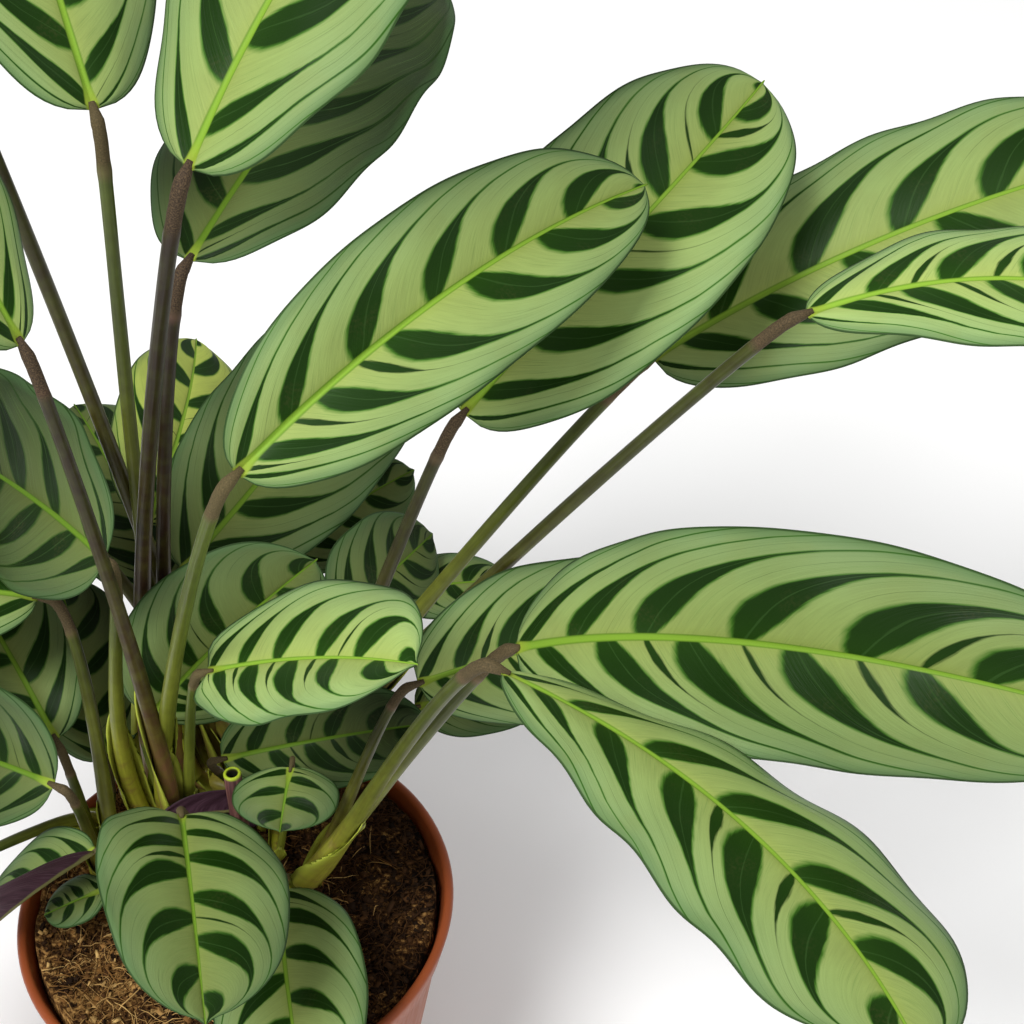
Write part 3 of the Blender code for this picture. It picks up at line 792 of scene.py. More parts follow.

# %% [markdown]
# ## Finish of the stalks
#
# A stalk is a firm, shiny stem. It is yellow green, palest at its foot, where the colour is also
# lifted as painted light on the part that lies in the leaves' shadow, and many stalks are stained
# dark brown up to their joint. Fine lines run along it. The joint below the blade is rough and
# corky, tan to grey brown, and ends in a pinkish ring. The foot opens into a sheath with thin,
# bright green margins. All this lies along the stalk, so it reads the stalk's own map.

# %% Skin of the stalks
def make_stalk_skin():
    """Smooth stalk skin, green or stained brown, with a corky joint at the top."""
    material, tree, shader = new_material("leaf stalk skin", 0.38, 0.3)
    place = add(tree, "UVMap", uv_map="stalk_mm")
    long_lines = add(tree, "VectorMath", {0: place, 1: (1.6, 0.05, 1)}, operation="MULTIPLY")
    lines = add(tree, "TexNoise", {"Vector": long_lines, "Scale": 1.0, "Detail": 3.0})
    spots = add(tree, "TexNoise", {"Vector": place, "Scale": 0.22, "Detail": 4.0})
    up = noted(tree, "up")
    brown = noted(tree, "brown")
    # Yellow green up the stalk: the pale low stops are partly the sheath's own colour and partly painted
    # light on feet that lie in the leaves' shadow.
    green = add(
        tree, "ValToRGB", {0: up},
        stops=[(0.0, "#C2C43C"), (0.20, "#B2B636"), (0.42, "#828B2E"), (0.7, "#525F24"),
               (1.0, "#586826")])
    stained = add(
        tree, "ValToRGB", {0: up},
        stops=[(0.0, "#8E7A3C"), (0.20, "#6C4E30"), (0.42, "#3B2A1B"), (0.7, "#2A1F13"),
               (1.0, "#261B10")])
    stain = calc(tree, "MULTIPLY_ADD", spots, 0.55, -0.275)
    stain = calc(tree, "ADD", stain, brown, use_clamp=True)
    colour = blend(tree, stain, green, stained)
    low = remap(tree, up, 0.40, 0.20, 0.0, 0.55)
    blush = remap(tree, spots, 0.50, 0.64)
    blush = calc(tree, "MULTIPLY", blush, low)
    colour = blend(tree, blush, colour, linear("#7C5440"))
    shade = remap(tree, lines, 0.3, 0.7, 0.80, 1.15)
    colour = blend(tree, 1.0, colour, shade, blend_type="MULTIPLY")

    grit = add(tree, "TexNoise", {"Vector": place, "Scale": 2.4, "Detail": 3.0})
    joint = noted(tree, "joint")
    cork = add(
        tree, "ValToRGB", {0: grit}, stops=[(0.32, "#2A2118"), (0.5, "#433526"), (0.70, "#5E4D37")])
    pale = calc(tree, "MULTIPLY_ADD", brown, -0.55, 0.5)
    cork = blend(tree, pale, cork, linear("#686038"))
    colour = blend(tree, joint, colour, cork)
    ring = noted(tree, "ring")
    colour = blend(tree, ring, colour, linear("#7A584A"))
    margin = noted(tree, "margin")
    colour = blend(tree, margin, colour, linear("#B4C046"))
    gloss = remap(tree, joint, 0.0, 1.0, 0.34, 0.80)
    rough = add(tree, "Mix", {0: joint, 2: lines, 3: grit}, data_type="FLOAT")
    bump = add(tree, "Bump", {"Height": rough, "Strength": 0.6, "Distance": 0.0002})
    wire(tree, shader, {"Base Color": colour, "Roughness": gloss, "Normal": bump})
    return material


stalk_skin = make_stalk_skin()
print("made", stalk_skin.name)

# %% [markdown]
# ## Route of a stalk
#
# Each stalk leaves its shoot, passes the point that its leaf names, and turns in line with the
# blade. That is a curve with four control points, as the Bezier curve of the editor. A curve object
# with a bevel would give the tube, but not the swollen joint, the sheath that opens at the foot or
# the map along it, so a grid is wrapped round the curve instead. The curve starts inside the coir,
# and a small gap stays between its end and the blade, as in the solids.

# %% Route of a stalk
GAP = 0.3
STEM_TOP = 115.5
ROOT_RING = 3.5
ROOT_DEPTH = 5.0
SOIL_REACH = 14.0
STALK_END = 3.0
KNEE_SHARE = 0.09
TIP_REACH = 2.0


def stalk_route(leaf):
    """The four control points of a stalk, and its very tip at the blade."""
    centre = SHOOTS[leaf.shoot]
    aim = Vector((leaf.way[0] - centre[0], leaf.way[1] - centre[1]))
    if aim.length > 0:
        aim.normalize()
    start = Vector((centre[0] + ROOT_RING * aim.x, centre[1] + ROOT_RING * aim.y, STEM_TOP - ROOT_DEPTH))
    along = midrib_direction(leaf, 0.0)
    tip = Vector(leaf.base) - along * GAP
    end = tip - along * STALK_END
    knee = end - along * (KNEE_SHARE * leaf.length)
    lean = (8 * Vector(leaf.way) - start - 3 * knee - end) / 3
    return start, lean, knee, end, tip


def walk_stalk(leaf, rows):
    """Points along a stalk, from inside the coir to a little way under the blade."""
    start, lean, knee, end, tip = stalk_route(leaf)
    points = [start - Vector((0, 0, SOIL_REACH))]
    for step in range(rows - 2):
        share = step / (rows - 3)
        rest = 1.0 - share
        point = start * rest**3 + lean * (3 * rest * rest * share)
        points.append(point + knee * (3 * rest * share * share) + end * share**3)
    points.append(tip + midrib_direction(leaf, 0.0) * TIP_REACH)
    return points


print("stalk of the longest blade passes", walk_stalk(longest, 8)[4].to_tuple(0), "mm")

# %% [markdown]
# ## Rings of a stalk
#
# Round the curve, each ring of the grid needs two directions square to it. They come from the
# blade's level direction, so the sheath opens on the side that the leaf's upper face is on. A
# stalk's radius falls from its foot to its joint, and a longer leaf has a stouter stalk.

# %% Rings of a stalk
STALK_ROWS = 60
GIRTH_LENGTH = 130.0
GIRTH_POWER = 0.4
JOINT_RADIUS = 1.75
JOINT_LEAST = 7.0
JOINT_SHARE = 0.075
JOINT_EDGE = 1.2
JOINT_RING = 0.15
TIP_GIRTH = 0.45
TIP_SLIMMING = 5.0
STALK_PROFILE = ((0.0, 2.9), (0.2, 3.0), (0.4, 2.5), (0.6, 2.05), (0.8, 1.8), (1.0, 1.8))


def between(table, value):
    """Read a value from a short table of places and values, with soft steps between them."""
    for (low, low_value), (high, high_value) in zip(table, table[1:]):
        if value <= high:
            share = max(0.0, (value - low) / (high - low))
            share = share * share * (3.0 - 2.0 * share)
            return low_value + (high_value - low_value) * share
    return table[-1][1]


class Stalk:
    """The rings of one stalk: where each lies, its two directions, and how far up it is."""

    def __init__(self, leaf):
        self.leaf = leaf
        self.points = walk_stalk(leaf, STALK_ROWS + 1)
        steps = [(b - a).length for a, b in zip(self.points, self.points[1:])]
        self.reach = [sum(steps[:count]) for count in range(len(self.points))]
        self.joint = JOINT_LEAST + JOINT_SHARE * leaf.length
        self.girth = (leaf.length / GIRTH_LENGTH) ** GIRTH_POWER
        heading = math.radians(leaf.heading - leaf.sweep / 2)
        self.level = Vector((math.sin(heading), -math.cos(heading), 0.0))

    def ring(self, row):
        """Centre and two directions of a ring, the second one away from the leaf's upper side."""
        before = self.points[max(0, row - 1)]
        after = self.points[min(len(self.points) - 1, row + 1)]
        along = (after - before).normalized()
        side = (self.level - along * self.level.dot(along)).normalized()
        return self.points[row], side, along.cross(side)

    def share(self, row):
        """How far up the stalk a ring lies, from 0 at the coir to 1 at the blade."""
        return min(1.0, max(0.0, (row - 1) / (STALK_ROWS - 2)))

    def left(self, row):
        """Millimetres from a ring to the stalk's tip."""
        return self.reach[-1] - self.reach[row]

    def joint_share(self, row):
        """1 on the corky joint, 0 below it, soft between them."""
        return min(1.0, max(0.0, (self.joint - self.left(row)) / JOINT_EDGE + 0.5))

    def radius(self, row):
        """Radius of the stalk, with its swollen joint and the low ring below it."""
        plain = between(STALK_PROFILE, self.share(row))
        swell = self.joint_share(row)
        ring = math.exp(-((self.left(row) - self.joint - 1.0) / JOINT_EDGE) ** 2)
        taper = min(1.0, TIP_GIRTH + self.left(row) / TIP_SLIMMING)
        body = (plain * (1.0 - swell) + JOINT_RADIUS * swell) * taper
        return self.girth * (body + JOINT_RING * ring)

    def point(self, row, angle, radius):
        """A point at an angle round a ring."""
        centre, side, outer = self.ring(row)
        return centre + (side * math.cos(angle) + outer * math.sin(angle)) * radius


print("joint of the longest blade:", round(Stalk(longest).joint, 1), "mm long")

# %% [markdown]
# ## Wrap a grid round a stalk
#
# The grid is bent into a tube, its seam is merged, and its two ends are closed. Each point keeps
# what the skin reads: how far up the stalk it is, how brown the stalk is, and how much of it is
# joint, ring or margin. The map along the stalk is in millimetres, round it and up it.

# %% Tube of a stalk
STALK_SIDES = 14
LUMP_HEIGHT = 0.14
LUMP_LENGTH = 1.6
PINK_STRENGTH = 0.45
PINK_BELOW = 0.4
PINK_WIDTH = 0.9
MAP_ROUND = 11.0
MAP_SHIFT = 40.0
MERGE = 0.001


def wrap_stalk(bm, stalk, layers):
    """Wrap one closed tube round a stalk."""
    where = {}
    for vert, (u, turn) in flat_grid(bm, STALK_ROWS, STALK_SIDES).items():
        row = round(u * STALK_ROWS)
        where[vert] = (row, turn)
        angle = math.tau * turn
        height = stalk.reach[row] / LUMP_LENGTH
        lump = noise.noise(Vector((math.cos(angle), math.sin(angle), height)) * 1.4)
        radius = stalk.radius(row) + LUMP_HEIGHT * lump * stalk.joint_share(row)
        vert.co = stalk.point(row, angle, radius)
        note_stalk(vert, stalk, row, 0.0, layers)
    note_map(where, stalk, layers)
    close_tube(bm, where, [vert for vert in where if where[vert][1] in (0.0, 1.0)])


def close_tube(bm, made, seam):
    """Merge the seam of a grid bent into a tube, and close its two ends."""
    bmesh.ops.remove_doubles(bm, verts=seam, dist=MERGE)
    ends = {edge for vert in made if vert.is_valid for edge in vert.link_edges if edge.is_boundary}
    bmesh.ops.holes_fill(bm, edges=list(ends))


def note_stalk(vert, stalk, row, margin, layers):
    """Write what the skin needs to know at one point."""
    pink = math.exp(-((stalk.left(row) - stalk.joint - PINK_BELOW) / PINK_WIDTH) ** 2)
    vert[layers["up"]] = stalk.share(row)
    vert[layers["brown"]] = stalk.leaf.brown
    vert[layers["joint"]] = stalk.joint_share(row)
    vert[layers["ring"]] = PINK_STRENGTH * pink
    vert[layers["margin"]] = margin


def note_map(where, stalk, layers):
    """Write the map along the stalk: millimetres round it and up it."""
    for face in {face for vert in where for face in vert.link_faces}:
        for loop in face.loops:
            row, turn = where[loop.vert]
            round_it = turn * MAP_ROUND + MAP_SHIFT * stalk.leaf.brown
            loop[layers["stalk_mm"]].uv = (round_it, stalk.reach[row])


# %% [markdown]
# ## Sheaths
#
# The foot of a stalk is a thin sheath that once wrapped the younger leaves. It is open on its inner
# side, its margins flare out, and it opens wide at its tip. The same kind of grid makes it: the
# first half of the grid's width is its outer face, and the second half turns back as its inner one.

# %% Sheath round a stalk
SHEATH_SHARE = 0.42
SHEATH_OPENING = math.radians(50)
SHEATH_TIP_OPENING = math.radians(160)
SHEATH_SIDES = 24
SHEATH_CLEARANCE = 0.55
SHEATH_THICKNESS = 0.3
SHEATH_WING = 2.2
SHEATH_CRINKLE = 0.35
EDGE = 0.001


def sheath_opening(up):
    """Half of the angle that the sheath leaves open: narrow at the foot, wide at its tip."""
    # It widens over the upper half, and 0.35 is what the power comes to there at the tip.
    widening = max(0.0, up - 0.5) ** 1.5 / 0.35
    opening = SHEATH_OPENING + (SHEATH_TIP_OPENING - SHEATH_OPENING) * widening
    return min(opening, SHEATH_TIP_OPENING)


def wrap_sheath(bm, stalk, layers):
    """A thin sheath round the foot of the stalk, open on its inner side, with bright margins."""
    rows = round(SHEATH_SHARE * STALK_ROWS)
    where = {}
    seam = []
    for vert, (u, round_turn) in flat_grid(bm, rows, SHEATH_SIDES).items():
        row = round(u * rows)
        turn = 1.0 - abs(2.0 * round_turn - 1.0)
        inner = round_turn > 0.5 and EDGE < turn < 1.0 - EDGE
        up = row / rows
        where[vert] = (row, turn)
        opening = sheath_opening(up)
        angle = 1.5 * math.pi + opening + (math.tau - 2 * opening) * turn
        rim = abs(2 * turn - 1.0)
        wing = SHEATH_WING * rim**3 * math.sin(math.pi * min(1.0, 0.12 + 0.88 * up)) ** 0.6
        radius = stalk.radius(row) + SHEATH_CLEARANCE + wing * stalk.girth
        crinkle = noise.noise(Vector((stalk.reach[row] / 7, turn * 3, stalk.leaf.length)))
        radius += SHEATH_CRINKLE * rim * crinkle
        radius -= SHEATH_THICKNESS if inner else 0.0
        vert.co = stalk.point(row, angle, radius)
        note_stalk(vert, stalk, row, max(0.0, (rim - 0.5) / 0.5) ** 1.3, layers)
        if round_turn < EDGE or round_turn > 1.0 - EDGE:
            seam.append(vert)
    note_map(where, stalk, layers)
    close_tube(bm, where, seam)


def make_stalks(name):
    """All the stalks of one shoot, as one piece."""
    bm = bmesh.new()
    layers = {key: bm.verts.layers.float.new(key) for key in ("up", "brown", "joint", "ring", "margin")}
    layers["stalk_mm"] = bm.loops.layers.uv.new("stalk_mm")
    for leaf in LEAVES.values():
        if leaf.shoot == name:
            stalk = Stalk(leaf)
            wrap_stalk(bm, stalk, layers)
            wrap_sheath(bm, stalk, layers)
    bmesh.ops.recalc_face_normals(bm, faces=bm.faces)
    return finish_piece(bm, name.replace("shoot", "stalks"), [stalk_skin], [name])


for name in SHOOTS:
    piece = make_stalks(name)
    print(piece.name, "has", len(piece.data.polygons), "faces")

# %% [markdown]
# ## The nursery pot
#
# A nursery pot is moulded in one piece from thin polypropylene: a tapered wall, a step where the
# deep rim starts, and a rounded lip. It is a turned shape, so one profile is spun round the upright
# axis. The Screw modifier does the same in the editor. The plastic is terracotta red, half shiny,
# with the faint scuffs and flow lines of a cheap moulding.

# %% Plastic of the pot
def make_pot_plastic():
    """Moulded polypropylene: a smooth, waxy half shine with fine scuffs."""
    material, tree, shader = new_material("moulded polypropylene", 0.38, 0.35)
    place = add(tree, "TexCoord", out=3)
    flow = add(tree, "Mapping", {"Vector": place, "Scale": (900, 900, 60)})
    scuffs = add(tree, "TexNoise", {"Vector": flow, "Scale": 0.5, "Detail": 4.0})
    cloud = add(tree, "TexNoise", {"Vector": place, "Scale": 30.0, "Detail": 2.0})
    colour = add(tree, "ValToRGB", {0: cloud}, stops=[(0.3, "#84401F"), (0.7, "#904823")])
    gloss = remap(tree, scuffs, 0.3, 0.7, 0.32, 0.46)
    bump = add(tree, "Bump", {"Height": scuffs, "Strength": 0.25, "Distance": 0.0001})
    wire(tree, shader, {"Base Color": colour, "Roughness": gloss, "Normal": bump})
    return material


pot_plastic = make_pot_plastic()
print("made", pot_plastic.name)

# %% [markdown]
# ## Shape of the pot
#
# The profile runs from the middle of the foot up the outside, over the lip as a half circle, and
# down the inside to the middle of the floor, so the spun shape is closed and has a real wall.

# %% Pot
POT_HEIGHT = 110.0
POT_TOP_RADIUS = 70.0
POT_FOOT_RADIUS = 50.0
POT_WALL = 2.0
POT_FLOOR = 3.0
RIM_HEIGHT = 12.0
RIM_STEP = 1.6
RIM_LIP = 3.2
LIP_STEPS = 6
FOOT_BEVEL = 1.5
POT_STEPS = 120
SHARP_ANGLE = math.radians(38)


def pot_radius(height, wall=0.0):
    """Radius of the pot's tapered wall at a height, less the wall's thickness."""
    taper = (POT_TOP_RADIUS - RIM_STEP - POT_FOOT_RADIUS) / POT_HEIGHT
    return POT_FOOT_RADIUS + taper * height - wall


def pot_profile():
    """The pot's outline from the middle of its foot, up the outside and down the inside."""
    rim_foot = POT_HEIGHT - RIM_HEIGHT
    lip = RIM_LIP / 2
    profile = [
        (0.0, 0.0),
        (POT_FOOT_RADIUS - FOOT_BEVEL, 0.0),
        (pot_radius(FOOT_BEVEL), FOOT_BEVEL),
        (pot_radius(rim_foot), rim_foot),
        (pot_radius(rim_foot) + RIM_STEP, rim_foot + RIM_STEP),
    ]
    for step in range(LIP_STEPS + 1):
        angle = math.pi * step / LIP_STEPS
        across = POT_TOP_RADIUS - lip + lip * math.cos(angle)
        profile.append((across, POT_HEIGHT - lip + lip * math.sin(angle)))
    profile += [
        (pot_radius(rim_foot, POT_WALL), rim_foot),
        (pot_radius(POT_FLOOR, POT_WALL), POT_FLOOR),
        (0.0, POT_FLOOR),
    ]
    return profile


def spin_profile(profile, steps, centre=(0.0, 0.0)):
    """Turn a profile of radius and height into a closed round shape."""
    bm = bmesh.new()
    verts = [bm.verts.new((centre[0] + radius, centre[1], height)) for radius, height in profile]
    edges = [bm.edges.new(pair) for pair in zip(verts, verts[1:])]
    bmesh.ops.spin(
        bm, geom=verts + edges, cent=(*centre, 0.0), axis=(0.0, 0.0, 1.0),
        angle=math.tau, steps=steps, use_merge=True)
    bmesh.ops.remove_doubles(bm, verts=bm.verts, dist=MERGE)
    bmesh.ops.recalc_face_normals(bm, faces=bm.faces)
    return bm


pot = finish_piece(
    spin_profile(pot_profile(), POT_STEPS), "nursery_pot", [pot_plastic], ["pot"])
pot.data.set_sharp_from_angle(angle=SHARP_ANGLE)
print("pot faces:", len(pot.data.polygons))

# %% [markdown]
# ## Finishes of the coir
#
# The plant grows in coir, the ground husk of coconuts. Up close it is a brown, crumbly bed with
# pale fibres that lie every way. It is darker at the right and paler at the left, so the bed's
# finish follows the place across the pot. The loose bits carry a tint each.

# %% Coir and dry fibre
def make_coir():
    """Ground coconut husk: matt, darker at the right and paler at the left."""
    material, tree, shader = new_material("coconut coir", 0.95, 0.1)
    place = add(tree, "TexCoord", out=3)
    across = add(tree, "SeparateXYZ", {0: place})
    # Paler towards the left, darker towards the right.
    dry = remap(tree, across, 0.03, -0.035, -0.035, 0.045)
    crumbs = add(tree, "TexNoise", {"Vector": place, "Scale": 620.0, "Detail": 5.0, "Roughness": 0.62})
    patches = add(tree, "TexNoise", {"Vector": place, "Scale": 90.0, "Detail": 3.0})
    mixed = add(tree, "Mix", {0: 0.4, 2: crumbs, 3: patches}, data_type="FLOAT")
    mixed = calc(tree, "ADD", mixed, dry)
    colour = add(
        tree, "ValToRGB", {0: mixed},
        stops=[(0.40, "#0A0502"), (0.47, "#2A180A"), (0.54, "#624424"), (0.62, "#B2894F")])
    bump = add(tree, "Bump", {"Height": crumbs, "Strength": 1.0, "Distance": 0.0012})
    wire(tree, shader, {"Base Color": colour, "Normal": bump})
    return material


def make_fibre():
    """Dry coconut fibre and husk, each piece its own brown."""
    material, tree, shader = new_material("dry coconut fibre", 0.8, 0.15)
    tint = noted(tree, "tint")
    colour = add(
        tree, "ValToRGB", {0: tint},
        stops=[(0.0, "#1E1208"), (0.3, "#4A3018"), (0.6, "#845E30"), (1.0, "#CBA768")])
    wire(tree, shader, {"Base Color": colour})
    return material


coir = make_coir()
fibre = make_fibre()
print("made", coir.name, "and", fibre.name)

# %% [markdown]
# ## The bed of coir
#
# The bed is one grid laid out as rings, raised and sunk by noise: clods, crumbs and finer crumbs. On
# the left side it rises a little towards the pot's lip. A Displace modifier with a clouds texture
# could roughen it too, but the loose bits that follow need to know its height at any place, and a
# function gives them that.

# %% Coir bed
SOIL_TOP = 106.5
SOIL_HUMP = 2.5
SOIL_BOTTOM = POT_FLOOR + GAP
BED_RINGS = 90
BED_SIDES = 220
BED_TOP_SHARE = 0.9
BED_OVERLAP = 0.4
BED_RISE = 2.4
BED_REACH = 62.0
BED_MERGE = 0.0005
LEFT_SPAN = 45.0
# The size of each grain of the noise, and how high it stands, in millimetres.
GRAINS = ((11.0, 1.8), (5.0, 1.3), (2.2, 1.1), (1.1, 0.6))


def soil_height(x, y):
    """The coir's low humps, in millimetres."""
    hump = math.sin(x * 0.11 + 0.6) * math.cos(y * 0.13) + 0.5 * math.sin(x * 0.23 - y * 0.19)
    return SOIL_TOP + SOIL_HUMP * 0.5 * hump


def leftness(x):
    """How far to the left a place lies: 1 at the left, 0 at the right, soft between them."""
    return min(1.0, max(0.0, 0.5 - x / LEFT_SPAN))


def crumbly(x, y):
    """The same humps with crumbs on them, and a rise to the pot's lip on the left side."""
    spot = Vector((x, y, 0.0))
    crumbs = sum(height * noise.noise(spot / grain) for grain, height in GRAINS)
    at_wall = BED_RISE * leftness(x) * (math.hypot(x, y) / BED_REACH) ** 6
    return soil_height(x, y) + crumbs + at_wall


def bed_point(u, v):
    """The bed from the middle of its top, out to the wall and down to its bottom."""
    angle = math.tau * v
    top_radius = pot_radius(SOIL_TOP - RIM_HEIGHT / 2, POT_WALL + GAP) + BED_OVERLAP
    if u < BED_TOP_SHARE:
        radius = top_radius * u / BED_TOP_SHARE
        x, y = radius * math.cos(angle), radius * math.sin(angle)
        return Vector((x, y, crumbly(x, y)))
    down = (u - BED_TOP_SHARE) / (1.0 - BED_TOP_SHARE)
    height = (SOIL_TOP - SOIL_HUMP * 2) * (1.0 - down) + SOIL_BOTTOM * down
    radius = pot_radius(height, POT_WALL + GAP) * (1.0 if down < 0.99 else 0.0)
    return Vector((radius * math.cos(angle), radius * math.sin(angle), height))


def make_bed():
    """The bed of coir, as one closed shape."""
    bm = bmesh.new()
    for vert, (u, v) in flat_grid(bm, BED_RINGS, BED_SIDES).items():
        vert.co = bed_point(u, v)
    bmesh.ops.remove_doubles(bm, verts=bm.verts, dist=BED_MERGE)
    bmesh.ops.recalc_face_normals(bm, faces=bm.faces)
    return finish_piece(bm, "coir_bed", [coir], ["soil"])


bed = make_bed()
print("coir bed faces:", len(bed.data.polygons))

# %% [markdown]
# ## Fibres, straws and chips
#
# Fine bent fibres and small chips of husk lie all over the coir, and straight, pale straws mostly
# on its left side. They are real geometry, because they catch the light and cast small shadows, and
# each has only a few faces. A particle system could scatter them too, but a loop with a seeded draw
# also gives each one its own length, bend and tint.

# %% Loose bits on the coir
LITTER_REACH = 64.0
# The least and the most length, bend in radians and radius that a fibre and a straw can have.
FIBRES = 2400
FIBRE_REACH = 62.0
FIBRE_LENGTH = (4.0, 17.0)
FIBRE_BEND = (-2.2, 2.2)
FIBRE_RADIUS = (0.07, 0.17)
STRAWS = 420
STRAW_REACH = 60.0
STRAW_LENGTH = (4.0, 13.0)
STRAW_BEND = (-0.3, 0.3)
STRAW_RADIUS = (0.12, 0.26)
CHIPS = 3000
CHIP_REACH = 63.0
rng = random.Random(41)


def spot_on_coir(reach):
    """A random place on the coir, clear of the pot's wall."""
    angle = rng.uniform(0.0, math.tau)
    radius = reach * math.sqrt(rng.random())
    return radius * math.cos(angle), radius * math.sin(angle)


def lay_fibre(bm, tint):
    """One fine bent fibre."""
    x, y = spot_on_coir(FIBRE_REACH)
    shade = rng.random() * (0.35 + 0.50 * leftness(x))
    lay_strand(
        bm, tint, (x, y), rng.uniform(*FIBRE_LENGTH), rng.uniform(*FIBRE_BEND),
        rng.uniform(*FIBRE_RADIUS), shade)


def lay_straw(bm, tint):
    """One straight dry straw, mostly on the left side."""
    x, y = spot_on_coir(STRAW_REACH)
    x = x - 0.6 * (x + STRAW_REACH) * rng.random()
    shade = rng.uniform(0.5, 1.0)
    lay_strand(
        bm, tint, (x, y), rng.uniform(*STRAW_LENGTH), rng.uniform(*STRAW_BEND),
        rng.uniform(*STRAW_RADIUS), shade)


def lay_strand(bm, tint, spot, length, bend, radius, shade):
    """A thin three-sided tube that lies on the coir."""
    heading = rng.uniform(0.0, math.tau)
    rise = rng.uniform(0.2, 2.2)
    for vert, (share, turn) in flat_grid(bm, 5, 3).items():
        way = heading + bend * (share - 0.5)
        x = spot[0] + math.cos(way) * length * (share - 0.5)
        y = spot[1] + math.sin(way) * length * (share - 0.5)
        inside = min(1.0, LITTER_REACH / max(math.hypot(x, y), 1.0))
        x, y = x * inside, y * inside
        middle = Vector((x, y, crumbly(x, y) + radius + rise * math.sin(math.pi * share)))
        angle = math.tau * turn
        slim = radius * (1.0 - 0.7 * abs(2 * share - 1) ** 3)
        side = Vector((-math.sin(way), math.cos(way), 0.0))
        vert.co = middle + (side * math.cos(angle) + Vector((0, 0, math.sin(angle)))) * slim
        vert[tint] = shade


def lay_chip(bm, tint):
    """One small chip of husk, tilted at random."""
    x, y = spot_on_coir(CHIP_REACH)
    size = rng.uniform(0.35, 1.0) ** 1.5 * 2.0
    made = bmesh.ops.create_cube(bm, size=1.0)["verts"]
    turn = Vector((rng.uniform(-0.6, 0.6), rng.uniform(-0.6, 0.6), rng.uniform(0.0, math.tau)))
    spin = Euler(turn).to_matrix()
    shape = Vector((size * rng.uniform(0.9, 2.2), size, size * rng.uniform(0.25, 0.5)))
    shade = rng.random() ** 1.6 * (0.30 + 0.7 * leftness(x))
    for vert in made:
        corner = vert.co * rng.uniform(0.7, 1.15)
        corner = spin @ Vector((corner.x * shape.x, corner.y * shape.y, corner.z * shape.z))
        vert.co = Vector((x, y, crumbly(x, y) + 0.3)) + corner
        vert[tint] = shade


def make_litter(name, count, lay):
    """Many small things on the coir, as one piece."""
    bm = bmesh.new()
    tint = bm.verts.layers.float.new("tint")
    for _ in range(count):
        lay(bm, tint)
    bmesh.ops.remove_doubles(bm, verts=bm.verts, dist=BED_MERGE)
    bmesh.ops.recalc_face_normals(bm, faces=bm.faces)
    return finish_piece(bm, name, [fibre])


LITTER = {
    "coir_fibres": (FIBRES, lay_fibre),
    "dry_straws": (STRAWS, lay_straw),
    "husk_chips": (CHIPS, lay_chip),
}
for name, (count, lay) in LITTER.items():
    piece = make_litter(name, count, lay)
    print(name, "has", len(piece.data.polygons), "faces")

# %% [markdown]
# ## The cut stalk
#
# One stalk was cut off square in the middle of the plant. Its skin is purple brown with long
# streaks, and its cut end shows a bright green ring round a hollow, painted near black as the shade
# inside it. It is a turned shape too.

# %% Cut stalk
CUT_STALK_AT = (1.9, 11.0)
CUT_STALK_RADIUS = 2.8
CUT_STALK_TOP = 157.0
CUT_STALK_BORE = 1.7
CUT_STALK_BORE_DEPTH = 12.0
CUT_STALK_FOOT = 86.0
CUT_STALK_STEPS = 28
CUT_EDGE_WIDTH = 0.3
CUT_EDGE_DROP = 0.4


def make_cut_skin():
    """Dry purple skin with streaks, a wet bright green cut end, and painted shade in its hollow."""
    material, tree, shader = new_material("cut stalk", 0.45, 0.3)
    place = add(tree, "TexCoord", out=3)
    long_way = add(tree, "Mapping", {"Vector": place, "Scale": (900, 900, 45)})
    streaks = add(tree, "TexNoise", {"Vector": long_way, "Scale": 1.0, "Detail": 3.0})
    colour = add(
        tree, "ValToRGB", {0: streaks},
        stops=[(0.3, "#3C2324"), (0.5, "#5E3B38"), (0.7, "#835F54")])
    height = add(tree, "SeparateXYZ", {0: place}).node.outputs[2]
    fresh = remap(tree, height, (CUT_STALK_TOP - 1.2) * MM, (CUT_STALK_TOP - 0.2) * MM)
    colour = blend(tree, fresh, colour, linear("#A3B62C"))
    axis = Vector((*CUT_STALK_AT, 0.0)) * MM
    level = add(tree, "VectorMath", {0: place, 1: (1.0, 1.0, 0.0)}, operation="MULTIPLY")
    off_axis = add(tree, "VectorMath", {0: level, 1: axis}, out=1, operation="DISTANCE")
    # Painted shade: the hollow of the cut end is coloured near black, as the shade inside it.
    hollow_shade = remap(tree, off_axis, (CUT_STALK_BORE + 0.35) * MM, (CUT_STALK_BORE - 0.05) * MM)
    colour = blend(tree, hollow_shade, colour, linear("#10150A"))
    bump = add(tree, "Bump", {"Height": streaks, "Strength": 0.6, "Distance": 0.0003})
    wire(tree, shader, {"Base Color": colour, "Normal": bump})
    return material


cut_profile = [
    (0.0, CUT_STALK_FOOT),
    (CUT_STALK_RADIUS, CUT_STALK_FOOT),
    (CUT_STALK_RADIUS, CUT_STALK_TOP - 8.0),
    (CUT_STALK_RADIUS, CUT_STALK_TOP - CUT_EDGE_DROP),
    (CUT_STALK_RADIUS - CUT_EDGE_WIDTH, CUT_STALK_TOP),
    (CUT_STALK_BORE + CUT_EDGE_WIDTH, CUT_STALK_TOP),
    (CUT_STALK_BORE, CUT_STALK_TOP - CUT_EDGE_DROP),
    (0.8 * CUT_STALK_BORE, CUT_STALK_TOP - CUT_STALK_BORE_DEPTH),
    (0.0, CUT_STALK_TOP - CUT_STALK_BORE_DEPTH),
]
stub = finish_piece(
    spin_profile(cut_profile, CUT_STALK_STEPS, CUT_STALK_AT), "cut_stub", [make_cut_skin()],
    ["cut_stalk"])
print("cut stub faces:", len(stub.data.polygons))

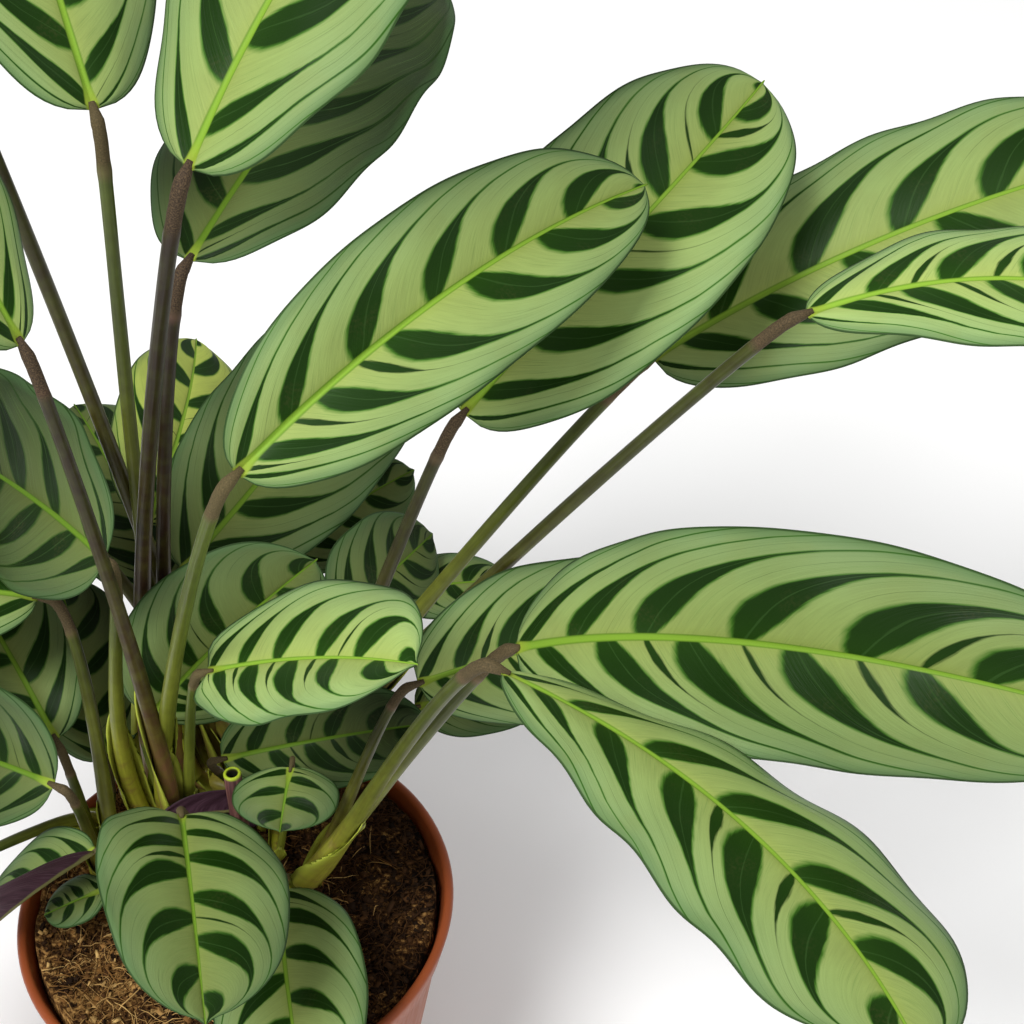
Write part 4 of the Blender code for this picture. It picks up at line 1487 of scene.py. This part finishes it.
# %% [markdown]
# ## Floor and light
#
# The plant stands on a plain pale floor under soft studio light: one large light high on the left,
# a weaker one on the right, and a bright surround that keeps the shadows soft. The floor isn't part
# of the plant, so it isn't attached to its body. Sizes and places of the studio are in metres.

# %% Studio
FLOOR_HALF = 3.0
LIGHT_SIZE = 1.6
LIGHT_AIM = Vector((0.0, 0.0, 0.2))
LIGHTS = {
    "key light": (148.0, Vector((-1.5, -1.6, 3.4))),
    "fill light": (26.0, Vector((1.8, -1.6, 2.4))),
}
SURROUND = 0.5


def make_floor():
    """A wide pale floor."""
    bm = bmesh.new()
    bmesh.ops.create_grid(bm, x_segments=1, y_segments=1, size=FLOOR_HALF)
    mesh = bpy.data.meshes.new("floor")
    bm.to_mesh(mesh)
    bm.free()
    material, _, shader = new_material("pale floor", 0.9)
    shader.inputs["Base Color"].default_value = linear("#F8F8F7")
    mesh.materials.append(material)
    floor = bpy.data.objects.new("floor", mesh)
    bpy.context.scene.collection.objects.link(floor)


def add_light(name, power, where):
    """One square soft light that shines at the plant."""
    data = bpy.data.lights.new(name, "AREA")
    data.size = LIGHT_SIZE
    data.energy = power
    light = bpy.data.objects.new(name, data)
    light.location = where
    light.rotation_euler = (LIGHT_AIM - where).to_track_quat("-Z", "Y").to_euler()
    bpy.context.scene.collection.objects.link(light)


def brighten_surround():
    """A white world round the studio, and colours shown as they are."""
    world = bpy.data.worlds.new("bright surround")
    world.use_nodes = True
    background = world.node_tree.nodes["Background"]
    background.inputs["Color"].default_value = linear("#FFFFFF")
    background.inputs["Strength"].default_value = SURROUND
    bpy.context.scene.world = world
    bpy.context.scene.view_settings.view_transform = "Standard"


make_floor()
for name, (power, where) in LIGHTS.items():
    add_light(name, power, where)
brighten_surround()
print("lights:", ", ".join(LIGHTS))

# %% [markdown]
# ## Camera
#
# The camera stands where the photographer's did: in front and above, a little to the right, looking
# down by 40 degrees. Its focal length is known in pixels of a square picture, and turns into a lens
# of 58 mm on a sensor of 36 mm.

# %% Camera
FOCAL_PIXELS = 1650
PICTURE_PIXELS = 1024
SENSOR_WIDTH = 36.0
CAMERA_AT = (0.089, -0.330, 0.549)
CAMERA_TILT = math.radians(50)

lens = bpy.data.cameras.new("camera")
lens.lens = FOCAL_PIXELS / PICTURE_PIXELS * SENSOR_WIDTH
lens.sensor_width = SENSOR_WIDTH
camera = bpy.data.objects.new("camera", lens)
camera.location = CAMERA_AT
camera.rotation_euler = (CAMERA_TILT, 0.0, 0.0)
bpy.context.scene.collection.objects.link(camera)
bpy.context.scene.camera = camera
print("lens:", round(lens.lens), "mm")
